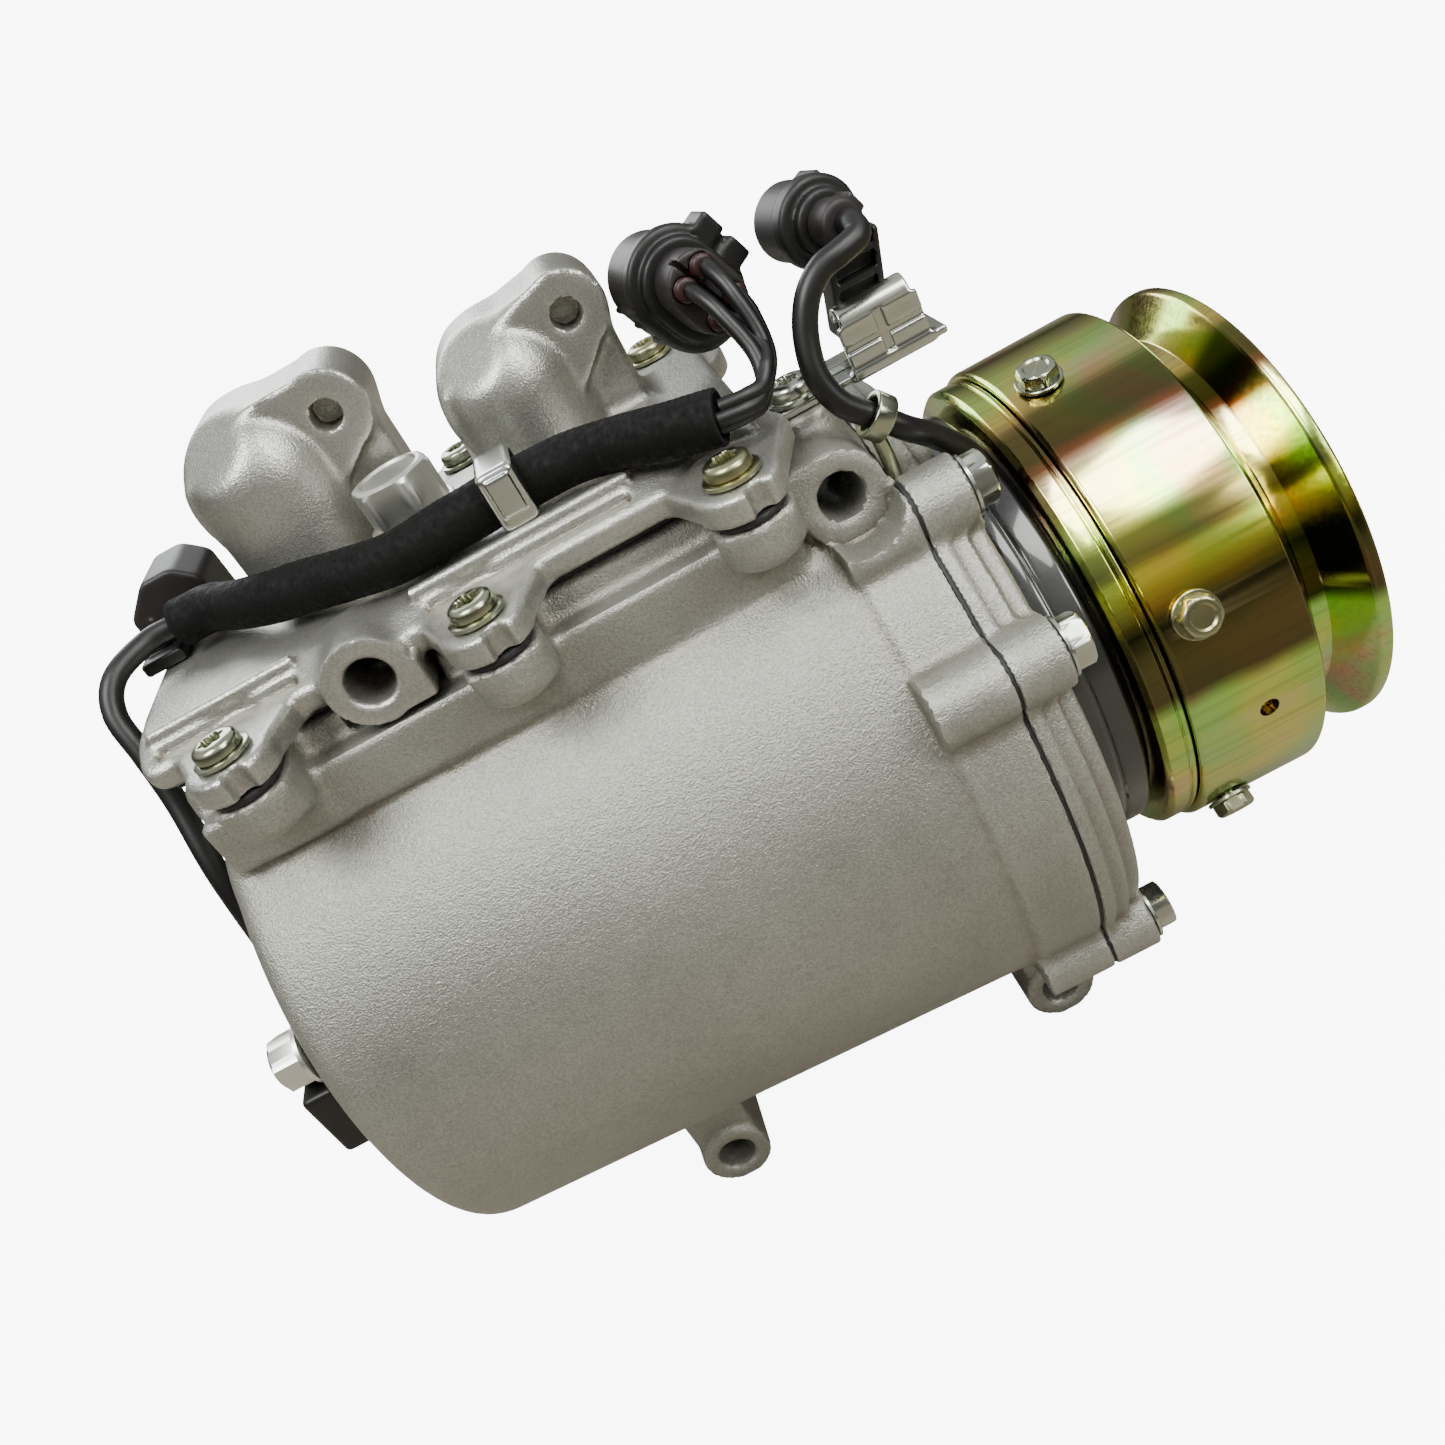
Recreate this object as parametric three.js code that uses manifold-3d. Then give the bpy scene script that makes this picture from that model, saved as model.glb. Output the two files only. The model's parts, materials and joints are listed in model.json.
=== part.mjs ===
// Scroll refrigerant compressor for a car, with its electromagnetic clutch.
// Millimetres. +X runs along the shaft towards the pulley, +Z is up, through the port cover.
// The origin is on the shaft axis, in the plane of the two front mounting lugs.

import * as THREE from 'three';
import { mergeVertices } from 'three/addons/utils/BufferGeometryUtils.js';
import Module from 'manifold-3d';

const wasm = await Module();
wasm.setup();

// ---------------------------------------------------------------- driving dimensions

const GAP = 0.3; // between pieces that rest on each other
const SIDES = 24; // facets of a turned piece
const SMALL_SIDES = 8; // facets of a bolt shank or a small hole

// stations along the shaft
const REAR_X = -147.2;
const FLANGE_REAR_X = -3.7;
const JOINT_X = 9.7; // face between the rear and the front housing
const FRONT_FACE_X = 21.5;
const NOSE_END_X = 64;

// housings
const BODY_REAR_R = 69;
const BODY_FRONT_R = 74.3;
const FLANGE_R = 74.6;
const BORE_R = 60;
const REAR_WALL = 8;
const NOSE_R = 22;
const CRANK_ROOM_R = 40;
const SPIGOT_X = -5.4;
const FRONT_BOLT_CIRCLE_R = 74.5;
const FRONT_BOLT_ANGLES = [55, 27, -43, -125, -153, 137]; // degrees up from the -Y side
const FRONT_BOSS_R = 7.6;

// mounting lugs, bored along Y
const LUG_BORE_R = 4.85;
const LUG_R = 9.2;
const REAR_LUG_X = -95.6;
const UPPER_LUG_FACE_Y = -40.7;
const LOWER_LUG_FACE_Y = -32.2;
const COVER_LUG_Z = 83.2;
const FRONT_LUG_Z = 70.2;
const LOWER_LUG_Z = -85.7;

// port cover
const PAD_TOP_Z = 79.5;
const COVER_X = [-144, -8];
const COVER_HALF_WIDTH = 38;
const SCREW_Y = 47.9;
const SCREW_XS = [-123.5, -69.8, -17.3];
const SCREW_SEAT_Z = 87.2;
const SCREW_BOSS_R = 7.6;
const TOWER_Y = 8;
const TOWER_BORE_R = 9;
const PORT_FACE_Y = 22;
const EAR_FACE_Y = 0;
const TOWERS = [
  { x: -101, z: 115.5, r: 16, earX: -82, earZ: 121.7, earR: 9.2 },
  { x: -47.5, z: 107.5, r: 15, earX: -30, earZ: 116, earR: 8.8 },
];
const EAR_HOLE_R = 3.3;
const VALVE_AT = [-76.5, -9];
const VALVE_SEAT_Z = 97;
const BRACKET_Z = 83.2;

// scrolls: two involutes of one pitch, half a turn apart
const ORBIT_R = 4.5;
const FLANK_PLAY = 0.45;
const WRAP_T = 4.4;
const WRAP_PITCH = 2 * (WRAP_T + ORBIT_R + FLANK_PLAY);
const WRAP_START = 1.7 * Math.PI;
const WRAP_END = 5.1 * Math.PI;
const WRAP_ROOT_X = -16;
const WRAP_TIP_X = -58;
const PIN_R = 2.5;
const PIN_CIRCLE_R = 49.5;
const PIN_HOLE_R = 7.3;
const PINS = 4;

// clutch
const ROTOR_REAR_X = 36.4;
const ROTOR_STEP_X = 43.4;
const ROTOR_LIP_R = 58.6;
const DRUM_R = 60;
const DRUM_END_X = 73.4;
const GROOVE_END_X = 88.3;
const RIM_END_X = 91.3;
const RIM_R = 56.5;
const GROOVE_ROOT_R = 47.5;
const SLEEVE_INNER_R = 54.5;
const FRICTION_X = 66;
const ARMATURE_GAP = 0.8;
const PULLEY_BOLT_X = 51.5;
const PULLEY_BOLTS = 6;
const PULLEY_BOLT_START = 18.4; // degrees up from the -Y side
const TIMING_HOLE = { x: 60, r: 2.2, angle: -9.2 };

// ---------------------------------------------------------------- solids

function solid(geometry) {
  const g = geometry.clone();
  g.deleteAttribute('normal');
  g.deleteAttribute('uv');
  const m = mergeVertices(g.index ? g.toNonIndexed() : g, 1e-4);
  const p = m.attributes.position.array;
  const tri = new Uint32Array(m.index.array);
  let volume = 0;
  const a = new THREE.Vector3();
  const b = new THREE.Vector3();
  const c = new THREE.Vector3();
  for (let i = 0; i < tri.length; i += 3) {
    a.fromArray(p, 3 * tri[i]);
    b.fromArray(p, 3 * tri[i + 1]);
    c.fromArray(p, 3 * tri[i + 2]);
    volume += a.dot(b.cross(c));
  }
  if (volume < 0) {
    for (let i = 0; i < tri.length; i += 3) {
      [tri[i], tri[i + 1]] = [tri[i + 1], tri[i]];
    }
  }
  const mesh = new wasm.Mesh({ numProp: 3, vertProperties: new Float32Array(p), triVerts: tri });
  mesh.merge();
  return new wasm.Manifold(mesh);
}

function geometryOf(manifold) {
  const mesh = manifold.getMesh();
  const g = new THREE.BufferGeometry();
  g.setAttribute('position', new THREE.BufferAttribute(mesh.vertProperties.slice(), 3));
  g.setIndex(new THREE.BufferAttribute(mesh.triVerts.slice(), 1));
  return g;
}

const join = (...list) => list.reduce((sum, piece) => sum.add(piece));
const cut = (body, ...list) => list.reduce((rest, piece) => rest.subtract(piece), body);

// a turned piece on the shaft axis, from a closed outline of [x, radius] points
function turned(outline, sides = SIDES) {
  const points = outline.map(([x, r]) => new THREE.Vector2(r, x));
  const closed = outline[0][1] !== 0 || outline[outline.length - 1][1] !== 0;
  if (closed) points.push(points[0].clone());
  const g = new THREE.LatheGeometry(points, sides);
  g.rotateZ(-Math.PI / 2);
  return solid(g);
}

function box([x0, x1], [y0, y1], [z0, z1]) {
  const g = new THREE.BoxGeometry(x1 - x0, y1 - y0, z1 - z0);
  g.translate((x0 + x1) / 2, (y0 + y1) / 2, (z0 + z1) / 2);
  return solid(g);
}

// a straight round bar between two points; r1 is its radius at the second one
function bar(from, to, r, sides = 16, r1 = r) {
  const start = new THREE.Vector3(...from);
  const end = new THREE.Vector3(...to);
  const run = end.clone().sub(start);
  const g = new THREE.CylinderGeometry(r1, r, run.length(), sides);
  const heading = run.clone().normalize();
  const turn = new THREE.Quaternion().setFromUnitVectors(new THREE.Vector3(0, 1, 0), heading);
  g.applyQuaternion(turn);
  g.translate(...start.add(end).multiplyScalar(0.5).toArray());
  return solid(g);
}

// a flat plate: an outline of [u, v] points, thick along w, in the frame given by origin and axes
function plate(outline, thickness, origin, uAxis, vAxis) {
  const shape = new THREE.Shape(outline.map(([u, v]) => new THREE.Vector2(u, v)));
  const g = new THREE.ExtrudeGeometry(shape, { depth: thickness, bevelEnabled: false });
  const u = new THREE.Vector3(...uAxis).normalize();
  const v = new THREE.Vector3(...vAxis).normalize();
  const m = new THREE.Matrix4().makeBasis(u, v, u.clone().cross(v)).setPosition(...origin);
  g.applyMatrix4(m);
  return solid(g);
}

// the outline round two circles: [u, v, radius] each, joined by their outer tangents
function pebble([u0, v0, r0], [u1, v1, r1], steps = 6) {
  const run = Math.hypot(u1 - u0, v1 - v0);
  const heading = Math.atan2(v1 - v0, u1 - u0);
  const lean = Math.acos((r0 - r1) / run);
  const points = [];
  for (let i = 0; i <= steps; i++) {
    const t = heading + lean + ((2 * Math.PI - 2 * lean) * i) / steps;
    points.push([u0 + r0 * Math.cos(t), v0 + r0 * Math.sin(t)]);
  }
  for (let i = 0; i <= steps; i++) {
    const t = heading - lean + (2 * lean * i) / steps;
    points.push([u1 + r1 * Math.cos(t), v1 + r1 * Math.sin(t)]);
  }
  return points;
}

function rope(points, r, sides, steps) {
  const path = new THREE.CatmullRomCurve3(points.map((p) => new THREE.Vector3(...p)));
  const section = new THREE.Shape();
  for (let i = 0; i < sides; i++) {
    const t = (2 * Math.PI * i) / sides;
    if (i === 0) section.moveTo(r, 0);
    else section.lineTo(r * Math.cos(t), r * Math.sin(t));
  }
  return solid(new THREE.ExtrudeGeometry(section, { steps, extrudePath: path }));
}

// a point at an angle up from the -Y side, on a circle about the shaft
function around(x, r, degrees) {
  const t = (degrees * Math.PI) / 180;
  return [x, -r * Math.cos(t), r * Math.sin(t)];
}

// hexagon-headed bolt: shank from tip to seat, then the head beyond it, all along one line
function hexBolt(seat, direction, headFlats, headHeight, shankR, shankLength) {
  const at = (d) => seat.map((s, i) => s + d * direction[i]);
  const head = bar(at(0), at(headHeight), headFlats / Math.sqrt(3), 6);
  return head.add(bar(at(-shankLength), at(0.5), shankR, SMALL_SIDES));
}

// ---------------------------------------------------------------- housings

function lugTube(x, z, y0, y1) {
  return bar([x, y0, z], [x, y1, z], LUG_R, 14);
}

function lugBore(x, z, y0, y1) {
  return bar([x, y0 - 1, z], [x, y1 + 1, z], LUG_BORE_R, 14);
}

function rearHousing() {
  const shell = turned([
    [REAR_X + 6, BODY_REAR_R], [FLANGE_REAR_X, BODY_FRONT_R], [JOINT_X - GAP, BODY_FRONT_R],
    [JOINT_X - GAP, BORE_R], [WRAP_TIP_X - 10, BORE_R], [WRAP_TIP_X - 10, BORE_R - 4],
    [REAR_X + REAR_WALL + 6, BORE_R - 4], [REAR_X + REAR_WALL, BORE_R - 10], [REAR_X + REAR_WALL, 0],
    [REAR_X, 0], [REAR_X, BODY_REAR_R - 6], [REAR_X + 1.6, BODY_REAR_R - 1.6],
  ]);
  const pieces = [shell];
  for (const angle of FRONT_BOLT_ANGLES) {
    const from = around(FLANGE_REAR_X - 1, FRONT_BOLT_CIRCLE_R, angle);
    const to = around(JOINT_X - GAP, FRONT_BOLT_CIRCLE_R, angle);
    pieces.push(bar(from, to, FRONT_BOSS_R, 10));
  }
  pieces.push(box([COVER_X[0] + 1, COVER_X[1] - 1], [-34, 34], [45, PAD_TOP_Z]));
  for (const x of SCREW_XS) {
    for (const side of [-1, 1]) {
      const y = side * SCREW_Y;
      pieces.push(bar([x, y, 71], [x, y, PAD_TOP_Z], SCREW_BOSS_R, 10));
      const slope = [[30, 58], [38, 62], [46, 71], [47, PAD_TOP_Z], [30, PAD_TOP_Z]];
      const web = slope.map(([v, z]) => [side * v, z]);
      const from = [x - SCREW_BOSS_R + 0.5, 0, 0];
      pieces.push(plate(web, 2 * SCREW_BOSS_R - 1, from, [0, 1, 0], [0, 0, 1]));
    }
  }
  pieces.push(lugTube(0, FRONT_LUG_Z, UPPER_LUG_FACE_Y, -12));
  pieces.push(box([-10, 5], [-38, -12], [FRONT_LUG_Z, FRONT_LUG_Z + 9]));
  for (const x of [REAR_LUG_X, 0]) {
    pieces.push(lugTube(x, LOWER_LUG_Z, LOWER_LUG_FACE_Y, -LOWER_LUG_FACE_Y));
    const half = x === 0 ? [-7, 8] : [x - 8, x + 8];
    pieces.push(box(half, [LOWER_LUG_FACE_Y, -LOWER_LUG_FACE_Y], [LOWER_LUG_Z, -62]));
  }
  pieces.push(bar([2, -20, FRONT_LUG_Z], [2, -20, BRACKET_Z - GAP], 7, 12));
  const bores = [lugBore(0, FRONT_LUG_Z, UPPER_LUG_FACE_Y, -12)];
  for (const x of [REAR_LUG_X, 0]) {
    bores.push(lugBore(x, LOWER_LUG_Z, LOWER_LUG_FACE_Y, -LOWER_LUG_FACE_Y));
  }
  for (const angle of FRONT_BOLT_ANGLES) {
    const mouth = around(JOINT_X + 1, FRONT_BOLT_CIRCLE_R, angle);
    bores.push(bar(around(0, FRONT_BOLT_CIRCLE_R, angle), mouth, 3.3, SMALL_SIDES));
  }
  for (const x of SCREW_XS) {
    for (const y of [-SCREW_Y, SCREW_Y]) {
      bores.push(bar([x, y, 66], [x, y, PAD_TOP_Z + 1], 2.8, SMALL_SIDES));
    }
  }
  for (const { x } of TOWERS) {
    bores.push(bar([x, TOWER_Y, 40], [x, TOWER_Y, 90], TOWER_BORE_R, 12));
  }
  const inside = turned([
    [REAR_X + REAR_WALL, 0], [REAR_X + REAR_WALL, BORE_R - 10], [REAR_X + REAR_WALL + 6, BORE_R - 4],
    [WRAP_TIP_X - 10, BORE_R - 4], [WRAP_TIP_X - 10, BORE_R], [JOINT_X + 5, BORE_R], [JOINT_X + 5, 0],
  ]);
  const recess = box([REAR_LUG_X - 11.8, REAR_LUG_X + 11.8], [-60, -22], [70, 100]);
  return cut(join(...pieces), inside, recess, ...bores);
}

function frontHousing() {
  const shell = turned([
    [SPIGOT_X, CRANK_ROOM_R], [SPIGOT_X, BORE_R - GAP], [JOINT_X + 1.3, BORE_R - GAP],
    [JOINT_X + 1.3, FLANGE_R], [13.5, FLANGE_R], [14.2, FLANGE_R - 1.2], [17.5, FLANGE_R - 1.2],
    [18.2, FLANGE_R - 3], [FRONT_FACE_X, FLANGE_R - 4], [FRONT_FACE_X, NOSE_R], [NOSE_END_X, NOSE_R],
    [NOSE_END_X, 16], [42, 16], [42, 12.5], [39.5, 12.5], [39.5, 18], [30.5, 18], [30.5, 14.5],
    [29.5, 14.5], [29.5, 21], [16, 21], [16, CRANK_ROOM_R],
  ]);
  const pieces = [shell];
  const bores = [];
  for (const angle of FRONT_BOLT_ANGLES) {
    const from = around(JOINT_X + 1.3, FRONT_BOLT_CIRCLE_R, angle);
    pieces.push(bar(from, around(FRONT_FACE_X, FRONT_BOLT_CIRCLE_R, angle), FRONT_BOSS_R, 10));
    const tip = around(0, FRONT_BOLT_CIRCLE_R, angle);
    bores.push(bar(tip, around(30, FRONT_BOLT_CIRCLE_R, angle), 3.4, SMALL_SIDES));
  }
  for (let i = 0; i < PINS; i++) {
    const [, y, z] = around(0, PIN_CIRCLE_R, 45 + (360 / PINS) * i);
    bores.push(bar([SPIGOT_X - 1, y, z], [SPIGOT_X + 6, y, z], PIN_HOLE_R, 12));
  }
  return cut(join(...pieces), ...bores);
}

function headCover() {
  const base = PAD_TOP_Z + 1.9;
  const [x0, x1] = COVER_X;
  const profile = [
    [-COVER_HALF_WIDTH, base], [COVER_HALF_WIDTH, base], [COVER_HALF_WIDTH, 87], [31, 90.5], [24, 91.5],
    [-24, 91.5], [-31, 90.5], [-COVER_HALF_WIDTH, 87],
  ];
  const pieces = [plate(profile, x1 - x0, [x0, 0, 0], [0, 1, 0], [0, 0, 1])];
  const bores = [];
  for (const x of SCREW_XS) {
    for (const side of [-1, 1]) {
      const y = side * SCREW_Y;
      pieces.push(plate(pebble([x, y, SCREW_BOSS_R + 1.4], [x, side * 34, 15]), SCREW_SEAT_Z - base,
        [0, 0, base], [1, 0, 0], [0, 1, 0]));
      bores.push(bar([x, y, base - 1], [x, y, SCREW_SEAT_Z + 1], 3.3, SMALL_SIDES));
      bores.push(bar([x, y, SCREW_SEAT_Z], [x, y, 100], 6, 12));
    }
  }
  for (const t of TOWERS) {
    const sides = 14;
    pieces.push(bar([t.x, TOWER_Y, base], [t.x, TOWER_Y, t.z], t.r, sides));
    pieces.push(bar([t.x, TOWER_Y, t.z], [t.x, PORT_FACE_Y, t.z], t.r, sides));
    const dome = new THREE.SphereGeometry(t.r, sides, 8);
    dome.translate(t.x, TOWER_Y, t.z);
    pieces.push(solid(dome));
    const ear = pebble([t.x, -t.z, t.r], [t.earX, -t.earZ, t.earR]);
    pieces.push(plate(ear, PORT_FACE_Y - EAR_FACE_Y, [0, EAR_FACE_Y, 0], [1, 0, 0], [0, 0, -1]));
    const web = [t.x, t.earX + t.earR - 1.5];
    pieces.push(box(web, [EAR_FACE_Y + 4, PORT_FACE_Y - 3], [base, t.earZ]));
    bores.push(box([t.x - 30, t.x + 30], [PORT_FACE_Y, 60], [96, 140]));
    bores.push(bar([t.x, TOWER_Y, base - 1], [t.x, TOWER_Y, t.z], TOWER_BORE_R, sides));
    bores.push(bar([t.x, TOWER_Y - 4, t.z], [t.x, PORT_FACE_Y + 1, t.z], TOWER_BORE_R, sides));
    bores.push(bar([t.earX, -2, t.earZ], [t.earX, PORT_FACE_Y + 1, t.earZ], EAR_HOLE_R, SMALL_SIDES));
  }
  pieces.push(bar([...VALVE_AT, base], [...VALVE_AT, VALVE_SEAT_Z], 11, 16));
  bores.push(bar([...VALVE_AT, base - 1], [...VALVE_AT, VALVE_SEAT_Z + 1], 6.3, 12));
  pieces.push(lugTube(REAR_LUG_X, COVER_LUG_Z, UPPER_LUG_FACE_Y, -24));
  const squareCorner = [REAR_LUG_X - 1, REAR_LUG_X + LUG_R + 2];
  pieces.push(box(squareCorner, [-39.5, -24], [COVER_LUG_Z - LUG_R + 0.6, COVER_LUG_Z]));
  bores.push(lugBore(REAR_LUG_X, COVER_LUG_Z, UPPER_LUG_FACE_Y, -18));
  return cut(join(...pieces), ...bores);
}

function frontGasket() {
  const discs = [turned([
    [JOINT_X, BORE_R + 1.5], [JOINT_X, FLANGE_R - 0.3],
    [JOINT_X + 1, FLANGE_R - 0.3], [JOINT_X + 1, BORE_R + 1.5],
  ])];
  const bores = [];
  for (const angle of FRONT_BOLT_ANGLES) {
    const at = (x) => around(x, FRONT_BOLT_CIRCLE_R, angle);
    discs.push(bar(at(JOINT_X), at(JOINT_X + 1), FRONT_BOSS_R - 0.2, 10));
    bores.push(bar(at(JOINT_X - 1), at(JOINT_X + 2), 3.6, SMALL_SIDES));
  }
  return cut(join(...discs), ...bores);
}

function headGasket() {
  const z0 = PAD_TOP_Z + GAP;
  const z1 = z0 + 1.3;
  const pieces = [box([COVER_X[0] + 1.5, COVER_X[1] - 1.5], [-33.5, 33.5], [z0, z1])];
  const bores = [];
  for (const x of SCREW_XS) {
    for (const y of [-SCREW_Y, SCREW_Y]) {
      const ear = pebble([x, y, SCREW_BOSS_R - 0.3], [x, y * 0.65, SCREW_BOSS_R - 0.3]);
      pieces.push(plate(ear, z1 - z0, [0, 0, z0], [1, 0, 0], [0, 1, 0]));
      bores.push(bar([x, y, z0 - 1], [x, y, z1 + 1], 3.4, SMALL_SIDES));
    }
  }
  for (const { x } of TOWERS) {
    bores.push(bar([x, TOWER_Y, z0 - 1], [x, TOWER_Y, z1 + 1], TOWER_BORE_R + 1, 20));
  }
  bores.push(bar([...VALVE_AT, z0 - 1], [...VALVE_AT, z1 + 1], 7, 12));
  bores.push(box([REAR_LUG_X - 11.8, REAR_LUG_X + 11.8], [-60, -22], [z0 - 1, z1 + 1]));
  return cut(join(...pieces), ...bores);
}

function frontBolt(angle) {
  const seat = around(FRONT_FACE_X + GAP, FRONT_BOLT_CIRCLE_R, angle);
  return hexBolt(seat, [1, 0, 0], 10, 5.2, 2.9, 20);
}

function coverScrew(x, y) {
  const seat = SCREW_SEAT_Z + GAP;
  const head = bar([x, y, seat], [x, y, seat + 4], 4.6, 12);
  const socket = bar([x, y, seat + 1.6], [x, y, seat + 5], 2.2, 6);
  return cut(head.add(bar([x, y, seat - 18], [x, y, seat + 1], 2.6, SMALL_SIDES)), socket);
}

function reliefValve() {
  const z = VALVE_SEAT_Z + GAP;
  return join(
    bar([...VALVE_AT, z], [...VALVE_AT, z + 11], 16 / Math.sqrt(3), 6),
    bar([...VALVE_AT, z - 14], [...VALVE_AT, z + 1], 5.8, 12),
  );
}

// ---------------------------------------------------------------- scrolls and shaft

// the wall between two involutes of one base circle, as a closed outline
function wrapOutline(phase) {
  const a = WRAP_PITCH / (2 * Math.PI);
  const half = WRAP_T / (2 * a);
  const steps = Math.round((24 * (WRAP_END - WRAP_START)) / (2 * Math.PI));
  const side = (shift) => {
    const points = [];
    for (let i = 0; i <= steps; i++) {
      const turn = WRAP_START + ((WRAP_END - WRAP_START) * i) / steps;
      const roll = turn - shift;
      const t = turn + phase;
      points.push([a * (Math.cos(t) + roll * Math.sin(t)), a * (Math.sin(t) - roll * Math.cos(t))]);
    }
    return points;
  };
  return [...side(half), ...side(-half).reverse()];
}

function wrap(phase, from, to) {
  return plate(wrapOutline(phase), to - from, [from, 0, 0], [0, 1, 0], [0, 0, 1]);
}

function fixedScroll() {
  const cup = turned([
    [WRAP_TIP_X - 9.4, 5], [WRAP_TIP_X - 9.4, BORE_R - GAP], [SPIGOT_X - 2.4, BORE_R - GAP],
    [SPIGOT_X - 2.4, BORE_R - 2.9], [WRAP_TIP_X - GAP, BORE_R - 2.9], [WRAP_TIP_X - GAP, 5],
  ]);
  const inlet = bar([TOWERS[1].x, TOWER_Y, 50], [TOWERS[1].x, TOWER_Y, 70], TOWER_BORE_R - 1, 16);
  return cut(cup.add(wrap(Math.PI, WRAP_TIP_X - 1, WRAP_ROOT_X - GAP)), inlet);
}

// the orbiting scroll about its own axis; it is placed one orbit radius off the shaft axis
function orbitingScroll() {
  const disc = turned([
    [WRAP_ROOT_X, 0], [WRAP_ROOT_X, 52], [-8, 52], [-8, 20], [5, 20], [5, 16.3], [-7, 16.3], [-7, 0],
  ]);
  const pieces = [disc, wrap(0, WRAP_TIP_X + GAP, WRAP_ROOT_X + 1)];
  for (let i = 0; i < PINS; i++) {
    const [, y, z] = around(0, PIN_CIRCLE_R, 45 + (360 / PINS) * i);
    pieces.push(bar([-9, y, z], [SPIGOT_X + 4, y, z], PIN_R, SMALL_SIDES));
  }
  return join(...pieces);
}

function thrustPlate() {
  const x = SPIGOT_X - 2.1;
  const ring = turned([
    [x, CRANK_ROOM_R - 2], [x, BORE_R - 0.6], [x + 1.8, BORE_R - 0.6], [x + 1.8, CRANK_ROOM_R - 2],
  ]);
  const holes = [];
  for (let i = 0; i < PINS; i++) {
    const [, y, z] = around(0, PIN_CIRCLE_R, 45 + (360 / PINS) * i);
    holes.push(bar([x - 1, y, z], [x + 3, y, z], PIN_HOLE_R, 12));
  }
  return cut(ring, ...holes);
}

const sleeve = (x0, x1, inner, outer) => turned([[x0, inner], [x0, outer], [x1, outer], [x1, inner]]);

function driveBush() {
  const bush = bar([-6, 0, 0], [6, 0, 0], 12, 28);
  const arc = [];
  for (let i = 0; i <= 14; i++) {
    const t = Math.PI * (1.12 + (0.76 * i) / 14);
    arc.push([37 * Math.cos(t), 37 * Math.sin(t)]);
  }
  arc.push([15, -4], [11, 6], [-11, 6], [-15, -4]);
  const weight = plate(arc, 4.4, [6.6, 0, 0], [0, 1, 0], [0, 0, 1]);
  const hub = bar([5, 0, ORBIT_R], [11, 0, ORBIT_R], 12, 28);
  const pinHole = bar([-8, 0, ORBIT_R], [13, 0, ORBIT_R], 5.3, 20);
  return cut(join(bush.translate([0, 0, ORBIT_R]), hub, weight), pinHole);
}

function driveShaft() {
  const turnedPart = turned([
    [11.5, 0], [11.5, 15], [15.5, 15], [15.5, 12.5], [30, 12.5], [30, 10], [44, 10], [44, 9],
    [66, 9], [66, 7], [76, 7], [76, 5], [84.5, 5], [84.5, 0],
  ], 20);
  return turnedPart.add(bar([-5.5, 0, ORBIT_R], [12, 0, ORBIT_R], 5, 20));
}

// ---------------------------------------------------------------- clutch

function clutchCoil() {
  const x = FRONT_FACE_X + 0.4;
  return turned([
    [x, NOSE_R + 0.5], [x, 52.6], [x + 3, 54.6], [x + 12, 54.6], [x + 12.6, 53], [x + 13.2, 49.4],
    [57, 49.4], [57, 38], [28, 38], [28, NOSE_R + 0.5],
  ]);
}

function clutchRotor() {
  const rotor = turned([
    [ROTOR_REAR_X, 50], [ROTOR_REAR_X, ROTOR_LIP_R - 1], [ROTOR_REAR_X + 1, ROTOR_LIP_R],
    [ROTOR_STEP_X - GAP, ROTOR_LIP_R], [ROTOR_STEP_X - GAP, SLEEVE_INNER_R - GAP],
    [FRICTION_X, SLEEVE_INNER_R - GAP], [FRICTION_X, 34], [40, 34], [40, 37.4], [60, 37.4], [60, 50],
  ]);
  const threads = [];
  for (let i = 0; i < PULLEY_BOLTS; i++) {
    const angle = PULLEY_BOLT_START + (360 / PULLEY_BOLTS) * i;
    threads.push(bar(around(PULLEY_BOLT_X, 45, angle), around(PULLEY_BOLT_X, 58, angle), 2.6, SMALL_SIDES));
  }
  return cut(rotor, ...threads);
}

function vPulley() {
  const pulley = turned([
    [ROTOR_STEP_X, SLEEVE_INNER_R], [ROTOR_STEP_X, DRUM_R - 0.6], [ROTOR_STEP_X + 0.6, DRUM_R],
    [DRUM_END_X - 0.8, DRUM_R], [DRUM_END_X, DRUM_R - 0.9], [79, GROOVE_ROOT_R], [82.7, GROOVE_ROOT_R],
    [GROOVE_END_X, RIM_R - 0.4], [GROOVE_END_X + 0.8, RIM_R], [RIM_END_X - 0.6, RIM_R],
    [RIM_END_X, RIM_R - 0.6], [RIM_END_X, 44], [74, 44], [74, SLEEVE_INNER_R],
  ]);
  const holes = [];
  for (let i = 0; i < PULLEY_BOLTS; i++) {
    const angle = PULLEY_BOLT_START + (360 / PULLEY_BOLTS) * i;
    holes.push(bar(around(PULLEY_BOLT_X, 50, angle), around(PULLEY_BOLT_X, 64, angle), 2.9, SMALL_SIDES));
  }
  const { x, r, angle } = TIMING_HOLE;
  holes.push(bar(around(x, 50, angle), around(x, 64, angle), r, SMALL_SIDES));
  return cut(pulley, ...holes);
}

function pulleyBolt(angle) {
  const direction = around(0, 1, angle);
  return hexBolt(around(PULLEY_BOLT_X, DRUM_R + GAP, angle), direction, 8, 4, 2.3, 9.5);
}

function clutchHub() {
  const spread = [];
  for (let i = 0; i < 30; i++) {
    const t = (2 * Math.PI * i) / 30;
    const r = 30 + 6 * Math.cos(3 * t);
    spread.push([r * Math.cos(t), r * Math.sin(t)]);
  }
  const flange = plate(spread, 3.4, [73, 0, 0], [0, 1, 0], [0, 0, 1]);
  const boss = bar([67, 0, 0], [75.4, 0, 0], 14, 24);
  return cut(flange.add(boss), bar([60, 0, 0], [80, 0, 0], 7.3, 24));
}

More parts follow.
